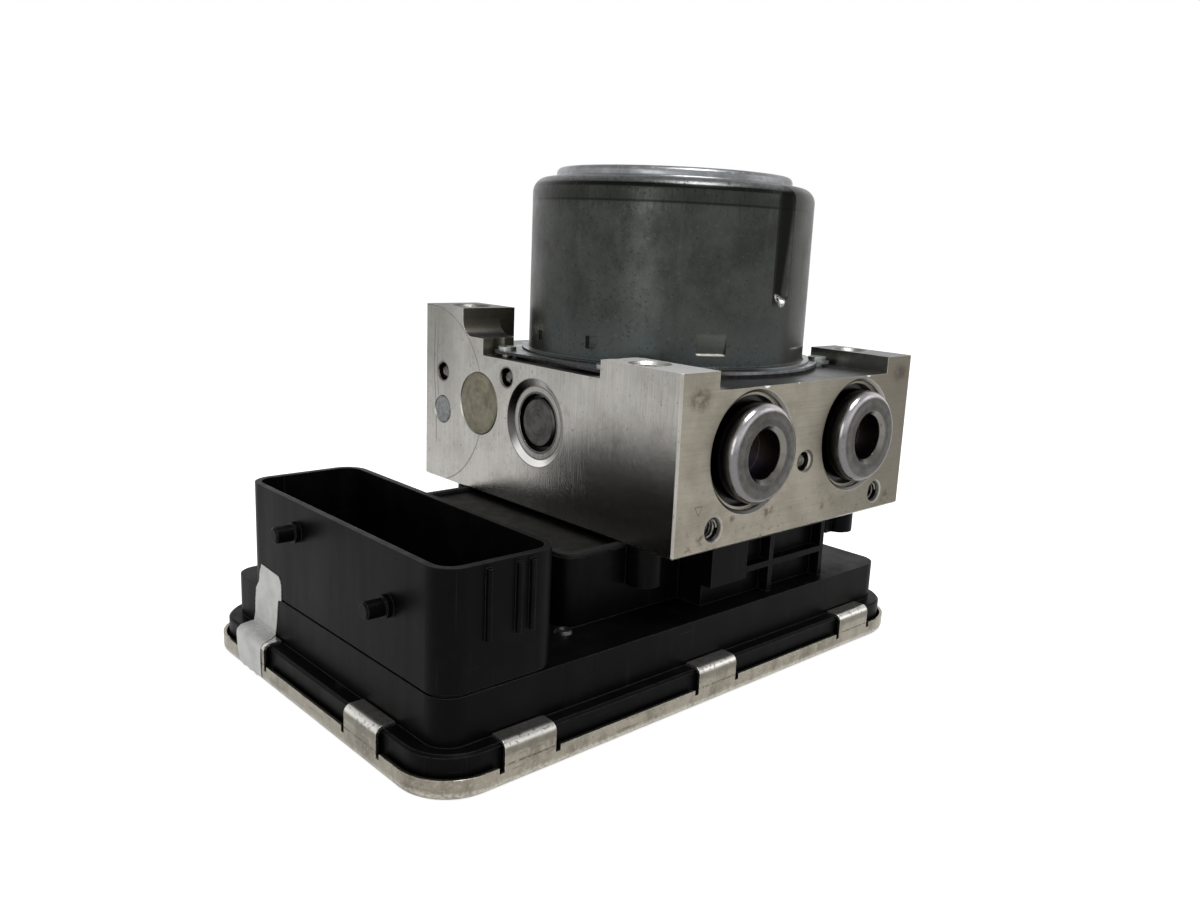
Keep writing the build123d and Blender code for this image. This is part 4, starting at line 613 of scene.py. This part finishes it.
def base_plate_steel():
    """Plated base plate: pale on top, its flank on the left painted black as shade, with flecks of
    rust.
    """
    material, shader, place = start_finish("base_plate_steel")
    x = parts_of(shifted(place, CORNER))[0]
    nz = facing(place)[2]
    cloud = grain(place, 4.0, detail=6, rough=0.62)
    fleck = level(grain(place, 0.8, detail=3), 0.56, 0.66)
    colour = blend(level(cloud, 0.38, 0.66), (0.30, 0.32, 0.34), (0.17, 0.18, 0.19))
    # painted shade on the flank on the left, with flecks of rust
    painted_shade = blend(fleck, (0.012, 0.011, 0.010), (0.11, 0.065, 0.04))
    flank = level(sums("ABSOLUTE", nz), 0.75, 0.35)
    colour = lay(colour, painted_shade, flank, level(x, 36.0, 26.0), 0.9)
    colour = lay(colour, (0.04, 0.035, 0.03), fleck, 0.35)
    coat(shader, colour, level(cloud, 0.3, 0.75, 0.28, 0.45), metallic=0.9)
    relief(shader, plus(cloud, fleck), 0.3, 0.05, edge=0.2)
    return material


def turned_metal(name, light, dark, rough, centre, rings, metallic=1.0, worn=0.6):
    """Metal turned about a line along X, with rings and dull handling marks."""
    material, shader, place = start_finish(name)
    lathe = sums("SINE", times(distance(place, centre, squash=ABOUT["X"]), rings * 6.28))
    cloud = grain(place, 3.5, detail=6, rough=0.62)
    speck = level(grain(place, 0.6, detail=2), 0.66, 0.74)
    colour = blend(level(cloud, 0.38, 0.66), light, dark)
    colour = lay(colour, tuple(c * 1.8 for c in light), level(lathe, -0.2, 1.0), 0.12)
    colour = lay(colour, (0.02, 0.018, 0.016), speck, worn)
    coat(shader, colour, level(cloud, 0.3, 0.75, rough, rough + 0.10), metallic)
    relief(shader, plus(times(lathe, 0.35), cloud), 0.14, 0.02, edge=0.2)
    return material


def cap_steel(side, centre_x):
    """Drawn cap: painted black shade on the skirt, a painted highlight on the shoulder, dull flat
    face, a pale bevel as painted highlight, a painted reflection in the cup.
    """
    material, shader, place = start_finish("cap_steel_" + side)
    corner = shifted(place, CORNER)
    _, y, z = parts_of(corner)
    radius = distance(corner, (centre_x, 0, SEAT_Z), squash=ABOUT["Y"])
    cloud = grain(place, 2.6, detail=6, rough=0.65)
    fine = grain(place, 0.5, detail=5)
    speck = level(grain(place, 0.6, detail=2), 0.64, 0.72)
    lathe = sums("SINE", times(radius, 17.0))
    colour = blend(level(cloud, 0.38, 0.66), (0.105, 0.101, 0.094), (0.066, 0.063, 0.058))
    colour = lay(colour, (0.20, 0.195, 0.185), level(lathe, -0.2, 1.0), 0.15)
    # painted black shade on the cap's skirt
    skirt_shade = both(level(y, -2.9, -1.4), level(radius, 11.6, 12.2))
    colour = lay(colour, (0.020, 0.019, 0.020), skirt_shade, 0.9)
    # a painted highlight on the shoulder, brightest toward the top
    shoulder_highlight = blend(level(z, 23.0, 33.0), (0.19, 0.185, 0.185), (0.56, 0.54, 0.56))
    shoulder = both(between(radius, 11.3, 12.7, 0.4), level(y, -2.4, -3.4))
    colour = lay(colour, shoulder_highlight, shoulder, level(fine, 0.2, 0.5, 0.7, 1.0))
    # a painted highlight on the cup's bevel
    bevel = both(between(radius, 6.4, 7.5, 0.12), level(y, -2.4, -3.2))
    colour = lay(colour, (0.21, 0.20, 0.18), bevel, 0.8)
    ring = both(line_at(radius, 8.3, 0.5, 0.5), level(y, -4.2, -4.5))
    colour = lay(colour, (0.035, 0.033, 0.032), ring, 0.35)
    # a painted reflection in the cup, brownish high and violet low
    cup_reflection = blend(level(z, 25.0, 18.0), (0.09, 0.076, 0.056), (0.17, 0.15, 0.20))
    cup = both(level(radius, 6.6, 6.2), level(y, -3.6, -2.6))
    colour = lay(colour, cup_reflection, cup, 0.85)
    colour = lay(colour, (0.015, 0.014, 0.013), speck, 0.55)
    coat(shader, colour, level(cloud, 0.3, 0.75, 0.17, 0.25), metallic=1.0)
    relief(shader, plus(times(lathe, 0.35), cloud), 0.2, 0.03, edge=0.2)
    return material


def label_paper():
    """White gloss label: creased, rubbed, grey at the folds."""
    material, shader, place = start_finish("label_paper")
    crease = grain(place, 5.0, detail=6, rough=0.6)
    lint = grain(place, 0.35, detail=4)
    z = parts_of(shifted(place, CORNER))[2]
    colour = blend(level(crease, 0.4, 0.7), (0.72, 0.72, 0.70), (0.60, 0.60, 0.58))
    fold = line_at(z, -28.4, 0.3, 1.2)
    colour = lay(colour, (0.34, 0.33, 0.31), fold, level(lint, 0.3, 0.6), 0.55)
    coat(shader, colour, level(crease, 0.3, 0.7, 0.38, 0.55))
    relief(shader, plus(crease, times(lint, 0.3)), 0.4, 0.12)
    return material


def plain_finish(name, light, dark, rough, metallic=0.0, size=2.0, depth=0.03, shine=0.5):
    """A finish of two close tones with a fine skin."""
    material, shader, place = start_finish(name)
    cloud = grain(place, size, detail=5)
    skin = grain(place, size * 0.12, detail=3)
    colour = blend(level(cloud, 0.35, 0.7), light, dark)
    coat(shader, colour, level(cloud, 0.3, 0.75, rough, rough + 0.15), metallic)
    shader.inputs["Specular IOR Level"].default_value = shine
    relief(shader, skin, 0.25, depth, edge=0.15)
    return material


steel = plain_finish("turned_steel", (0.50, 0.50, 0.50), (0.36, 0.36, 0.36), 0.24, 1.0)
ball_steel = plain_finish("ball_steel", (0.14, 0.13, 0.12), (0.06, 0.052, 0.045), 0.15, 1.0, 1.2)
zinc = plain_finish("zinc_plate", (0.40, 0.41, 0.39), (0.27, 0.28, 0.26), 0.30, 1.0)
rivet_steel = plain_finish("rivet_steel", (0.10, 0.10, 0.10), (0.05, 0.05, 0.05), 0.35, 1.0, 1.0)
spring_wire = plain_finish("spring_wire", (0.42, 0.42, 0.43), (0.30, 0.30, 0.31), 0.28, 1.0, 1.0)
rubber = plain_finish("black_rubber", (0.010, 0.010, 0.010), (0.020, 0.019, 0.018), 0.6,
                      size=1.6, depth=0.08, shine=0.2)
seal_rubber = plain_finish("dusty_seal", (0.045, 0.040, 0.034), (0.016, 0.015, 0.014), 0.65,
                           size=1.8, depth=0.10, shine=0.2)
pins = plain_finish("tinned_pins", (0.72, 0.70, 0.62), (0.60, 0.57, 0.48), 0.25, 1.0)
board = plain_finish("board_green", (0.02, 0.11, 0.05), (0.03, 0.16, 0.08), 0.35, size=4.0)
chips = plain_finish("component_black", (0.03, 0.03, 0.032), (0.045, 0.045, 0.048), 0.45)
carrier = plain_finish("carrier_moulding", (0.05, 0.05, 0.055), (0.07, 0.07, 0.075), 0.45)
copper = plain_finish("copper_wire", (0.62, 0.26, 0.12), (0.45, 0.17, 0.08), 0.32, 0.9, 1.0)
carbon = plain_finish("brush_carbon", (0.04, 0.04, 0.042), (0.06, 0.06, 0.06), 0.5)
ferrite = plain_finish("magnet_ferrite", (0.07, 0.07, 0.075), (0.10, 0.10, 0.105), 0.55, 0.2)
core = plain_finish("core_laminations", (0.26, 0.26, 0.27), (0.18, 0.18, 0.19), 0.4, 0.8, 1.0)
blue_grey = plain_finish("grey_plug", (0.26, 0.275, 0.27), (0.17, 0.18, 0.175), 0.42, 0.8, 1.0)
piston_alloy = plain_finish("piston_alloy", (0.46, 0.46, 0.45), (0.36, 0.36, 0.35), 0.32,
                            1.0, 1.5)
thread_metal = plain_finish("thread_metal", (0.26, 0.25, 0.23), (0.10, 0.095, 0.085), 0.28,
                            1.0, 1.0)
olive = turned_metal("dull_aluminium_plug", (0.215, 0.200, 0.145), (0.150, 0.140, 0.100), 0.46,
                     at(*DAMPER_PLUG), 0.45, metallic=0.9)
plug_steel = turned_metal("plug_steel", (0.085, 0.083, 0.080), (0.050, 0.048, 0.047), 0.32,
                          at(*PUMP_MOUTH), 0.8)

FINISH = {
    "cover_plate": cover_sheet(), "cover_seal": rubber, "ecu_housing": black_moulding(),
    "connector_pins": pins, "circuit_board": board, "board_components": chips,
    "coil_carrier": carrier, "coil_windings": copper, "coil_yokes": zinc, "coil_terminals": pins,
    "contact_carrier": carrier, "contact_pins": pins, "block_gasket": rubber, "ecu_screws": zinc,
    "housing_rivet": rivet_steel, "valve_block": machined_aluminium(), "inlet_valves": steel,
    "outlet_valves": steel, "switching_valves": steel, "suction_valves": steel,
    "ball_plugs": ball_steel, "damper_plugs": olive, "chamber_plugs": blue_grey,
    "motor_seal": seal_rubber, "motor_base_plate": base_plate_steel(), "motor_can": motor_steel(),
    "motor_screws": zinc, "magnets": ferrite, "brush_holder": carrier, "brushes": carbon,
    "brush_springs": spring_wire, "front_bearing": steel, "rear_bearing": steel,
    "shaft_end_bearing": steel, "motor_shaft": steel, "eccentric_bearing": steel,
    "armature_core": core, "armature_windings": copper, "commutator": copper,
}
for side, seat_x in SEAT_X.items():
    FINISH["pump_plug_" + side] = plug_steel
    FINISH["pump_sleeve_" + side] = steel
    FINISH["pump_piston_" + side] = steel
    FINISH["pump_spring_" + side] = spring_wire
    FINISH["accumulator_cap_" + side] = cap_steel(side, seat_x)
    FINISH["accumulator_spring_" + side] = spring_wire
    FINISH["accumulator_piston_" + side] = piston_alloy
    FINISH["accumulator_ring_" + side] = rubber
for node, material in FINISH.items():
    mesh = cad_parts[node].data
    mesh.materials.clear()
    mesh.materials.append(material)


# ------------------------------------------------------------ pieces
def unpick():
    """Back to object mode with nothing selected."""
    if bpy.context.object and bpy.context.object.mode != "OBJECT":
        bpy.ops.object.mode_set(mode="OBJECT")
    bpy.ops.object.select_all(action="DESELECT")


def mend(smooth, first=None):
    """Take a first step on the whole mesh, turn its faces outward, smooth all but sharp edges."""
    bpy.ops.object.mode_set(mode="EDIT")
    bpy.ops.mesh.select_all(action="SELECT")
    if first is not None:
        first()
        bpy.ops.mesh.select_all(action="SELECT")
    bpy.ops.mesh.normals_make_consistent(inside=False)
    bpy.ops.object.mode_set(mode="OBJECT")
    bpy.ops.object.shade_smooth_by_angle(angle=math.radians(smooth))


def settle(piece, name, material):
    """Name a finished piece, give it its finish and fix it to the unit."""
    piece.name = name
    piece.data.name = name
    piece.data.materials.append(material)
    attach(piece, "unit")


PITCH = 1.0
RIB_R = 0.50         # of the circle that the rib's three corners lie on
ROOT = 0.12          # the rib's middle beyond the core, so that its root is in the wall
RIB_STEPS = 30       # to a turn
UPWARD = (0, 0, 0)
FORWARD = (math.pi / 2, 0, 0)
BACKWARD = (-math.pi / 2, 0, 0)
# Tapped holes: where each opens, which way, the thread's core radius and its length.
TAPPED = {
    "bracket_thread_left": (at(14.2, 0.9, 5.3), FORWARD, 2.5, 8.6),
    "bracket_thread_right": (at(84.2, 0.9, 5.3), FORWARD, 2.5, 8.6),
    "port_thread_front_left": (at(6.55, 17.2, 43.6), UPWARD, 4.5, 10.0),
    "port_thread_front_right": (at(91.15, 17.2, 43.6), UPWARD, 4.5, 10.0),
    "port_thread_rear_left": (at(9.2, 96.4, 51.3), UPWARD, 5.5, 10.0),
    "port_thread_rear_right": (at(88.1, 96.4, 51.3), UPWARD, 5.5, 10.0),
    "port_thread_back_left": (at(24.65, 105.9, 27.5), BACKWARD, 4.5, 10.0),
    "port_thread_back_right": (at(72.65, 105.9, 27.5), BACKWARD, 4.5, 10.0),
}


def thread_ridge(name, mouth, turn, core_radius, length):
    """A three-cornered rib wound down a tapped hole, its root in the wall."""
    unpick()
    bpy.ops.mesh.primitive_circle_add(vertices=3, radius=RIB_R * PITCH * MM,
                                      location=((core_radius + ROOT) * MM, 0, -0.5 * PITCH * MM),
                                      rotation=(math.pi / 2, -math.pi / 2, 0))
    bpy.ops.object.transform_apply(location=True, rotation=True, scale=True)
    ridge = bpy.context.object
    wind = ridge.modifiers.new("wind", "SCREW")
    wind.axis = "Z"
    wind.angle = 2 * math.pi
    wind.screw_offset = -PITCH * MM
    wind.iterations = int((length - PITCH) / PITCH)
    wind.steps = wind.render_steps = RIB_STEPS
    wind.use_merge_vertices = True
    wind.merge_threshold = 0.00001
    bpy.ops.object.modifier_apply(modifier="wind")
    ridge.rotation_euler = turn
    ridge.location = mouth * MM
    bpy.ops.object.transform_apply(location=True, rotation=True, scale=True)
    mend(40, lambda: bpy.ops.mesh.fill_holes(sides=4))
    settle(ridge, name, thread_metal)


# The label, by the distance down from its top: where its sides are, and where it bends.
LABEL_LENGTH = 30.2
LABEL_THICKNESS = 0.12
LABEL_RIGHT = ((0, 74.6), (1.0, 73.8), (2.3, 73.3), (6.6, 73.2), (7.0, 75.2), (11.5, 75.8),
               (16.3, 77.0), (18.0, 75.6), (19.9, 74.3), (30.2, 74.1))
LABEL_LEFT = ((0, 84.3), (2.1, 85.5), (4.9, 85.9), (7.2, 88.0), (14.5, 89.0), (16.3, 89.6),
              (18.2, 89.3), (23.0, 88.3), (27.0, 87.8), (30.2, 86.4))
WALL_X = -62.56      # the connector's wall
LABEL_TOP = -11.7    # its height on that wall
CREASE_START = 16.3
CREASE_RUN = 0.7
CREASE_R = 0.42
LIP_START = 17.0
LIP_REACH = 2.95
LIP_Z = -28.42       # top of the tab's lip
BEND_START = 19.95
BEND_R = 1.98


def side_of_label(points, down):
    """The place of one side at a distance down from the top, read between given points."""
    for (d0, y0), (d1, y1) in zip(points, points[1:]):
        if down <= d1:
            return y0 + (y1 - y0) * (down - d0) / (d1 - d0)
    return points[-1][1]


def label_fold(down):
    """Where the label lies: down the wall, out on the tab's lip, round its bend, down."""
    if down < CREASE_START:
        return WALL_X, LABEL_TOP - down
    if down < LIP_START:
        share = (down - CREASE_START) / CREASE_RUN * math.pi / 2
        return (WALL_X - CREASE_R * (1 - math.cos(share)),
                LABEL_TOP - CREASE_START - CREASE_R * math.sin(share))
    if down < BEND_START:
        return WALL_X - CREASE_R - (down - LIP_START), LIP_Z
    bend_x = WALL_X - CREASE_R - LIP_REACH
    if down < BEND_START + BEND_R * math.pi / 2:
        share = (down - BEND_START) / BEND_R
        return bend_x - BEND_R * math.sin(share), LIP_Z - BEND_R + BEND_R * math.cos(share)
    return bend_x - BEND_R, LIP_Z - BEND_R - (down - BEND_START - BEND_R * math.pi / 2)


def blank_label():
    """Blank paper label with uneven sides, folded from the connector's wall over one tab."""
    unpick()
    bpy.ops.mesh.primitive_grid_add(x_subdivisions=26, y_subdivisions=96, size=1.0)
    label = bpy.context.object
    for vertex in label.data.vertices:
        across, down = vertex.co.x + 0.5, (0.5 - vertex.co.y) * LABEL_LENGTH
        low = side_of_label(LABEL_RIGHT, down)
        low += 0.05 * math.sin(down * 5.1) + 0.03 * math.sin(down * 11.7)
        high = side_of_label(LABEL_LEFT, down)
        high += 0.06 * math.sin(down * 4.3 + 1) + 0.03 * math.sin(down * 13.1)
        y = low + (high - low) * across
        slant = 0.6 * (1 - across) * max(0.0, 1 - down / 7)
        ragged = 0.15 * math.sin(y * 1.7) * max(0.0, down - 28) / 2
        down += slant - ragged
        x, z = label_fold(down)
        lift = 0.10 * (0.5 + 0.5 * math.sin(down * 0.9 + y * 0.55)) * abs(across - 0.5) * 2
        vertex.co = at(x - lift * 0.6, y, z + lift * 0.3) * MM
    paper = label.modifiers.new("paper", "SOLIDIFY")
    paper.thickness = LABEL_THICKNESS * MM
    paper.offset = 0
    bpy.ops.object.modifier_apply(modifier="paper")
    mend(50)
    settle(label, "blank_label", label_paper())


SAME_PLACE = 0.000005    # metres
X_AXIS, Y_AXIS = 0, 1


def following_coil(spring, side, axis, fixed_end):
    """The spring's own coil: a merged, smoothed copy of the CAD spring, which is hidden; its ends
    along the axis are worked out but not used.
    """
    node = f"{spring}_spring_{side}"
    unpick()
    coil = bpy.data.objects.new(f"{spring}_coil_{side}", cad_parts[node].data.copy())
    bpy.context.scene.collection.objects.link(coil)
    bpy.context.view_layer.objects.active = coil
    coil.select_set(True)
    mend(40, lambda: bpy.ops.mesh.remove_doubles(threshold=SAME_PLACE))
    low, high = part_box(node)
    middle = (Vector(low) + Vector(high)) / 2
    start, end = list(middle), list(middle)
    start[axis] = fixed_end
    end[axis] = max(low[axis], high[axis], key=lambda place: abs(place - fixed_end))
    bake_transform(coil)
    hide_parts(node)


for name, hole in TAPPED.items():
    thread_ridge(name, *hole)
blank_label()
following_coil("accumulator", "left", Y_AXIS, -0.0551)
following_coil("accumulator", "right", Y_AXIS, -0.0551)
following_coil("pump", "left", X_AXIS, -0.0068)
following_coil("pump", "right", X_AXIS, 0.0729)


# ------------------------------------------------------------ studio
def softbox(name, place, aim, size, watts):
    """A soft rectangular lamp turned to face a point, in millimetres."""
    bpy.ops.object.light_add(type="AREA", location=Vector(place) * MM)
    lamp = bpy.context.object
    lamp.name = name
    lamp.data.shape = "RECTANGLE"
    lamp.data.size, lamp.data.size_y = size[0] * MM, size[1] * MM
    lamp.data.energy = watts
    lamp.rotation_euler = (Vector(aim) - Vector(place)).to_track_quat("-Z", "Y").to_euler()


def kinds_of_ray(tree):
    """Shares of rays straight from the camera, and of rays by way of a mirror or glass."""
    rays = tree.nodes.new("ShaderNodeLightPath")
    mirrored = either(rays.outputs["Is Glossy Ray"], rays.outputs["Is Transmission Ray"])
    return rays.outputs["Is Camera Ray"], mirrored


def studio_floor():
    """Wide pale floor that stays white in view and keeps the part's shadow."""
    unpick()
    bpy.ops.mesh.primitive_plane_add(size=40, location=(0, 0, -0.0002))
    floor = bpy.context.object
    floor.name = "studio_floor"
    material, shader, _ = start_finish("studio_white")
    shader.inputs["Base Color"].default_value = (0.8, 0.8, 0.8, 1)
    shader.inputs["Roughness"].default_value = 0.9
    shader.inputs["Specular IOR Level"].default_value = 0.0
    shader.inputs["Emission Color"].default_value = (1, 1, 1, 1)
    direct, mirrored = kinds_of_ray(material.node_tree)
    feed(shader.inputs["Emission Strength"], either(times(direct, 0.78), times(mirrored, 0.42)))
    floor.data.materials.append(material)


def studio_world():
    """White to the camera, dimmer as a light, and darker overhead than at the sides."""
    world = bpy.data.worlds.new("studio_world")
    bpy.context.scene.world = world
    world.use_nodes = True
    tree = world.node_tree
    background = tree.nodes["Background"]
    heading = tree.nodes.new("ShaderNodeTexCoord")
    rise = parts_of(heading.outputs["Generated"])[2]
    sky = blend(level(rise, 0.30, 0.85, 1.0, 0.40), (0, 0, 0), (1, 1, 1))
    feed(background.inputs["Color"], sky)
    feed(background.inputs["Strength"], level(either(*kinds_of_ray(tree)), 0.0, 1.0, 0.50, 1.0))


studio_floor()
softbox("key_lamp", (20, -320, 1050), (0, 0, 50), (380, 380), 6.0)
softbox("front_lamp", (-1100, -500, 380), (0, 0, 60), (360, 700), 1.8)
softbox("right_lamp", (900, -700, 500), (30, 0, 70), (400, 600), 0.4)
studio_world()

CAMERA_PLACE = (-0.1815, -0.2069, 0.1131)
CAMERA_TURN = (78.1667, -2.7014, -43.2742)  # degrees
bpy.ops.object.camera_add(location=CAMERA_PLACE, rotation=[math.radians(a) for a in CAMERA_TURN])
camera = bpy.context.object
camera.data.lens = 30.171
camera.data.shift_x = -0.02133
camera.data.shift_y = -0.00117
camera.data.clip_start = 0.01
bpy.context.scene.camera = camera
bpy.context.scene.view_settings.view_transform = "Standard"
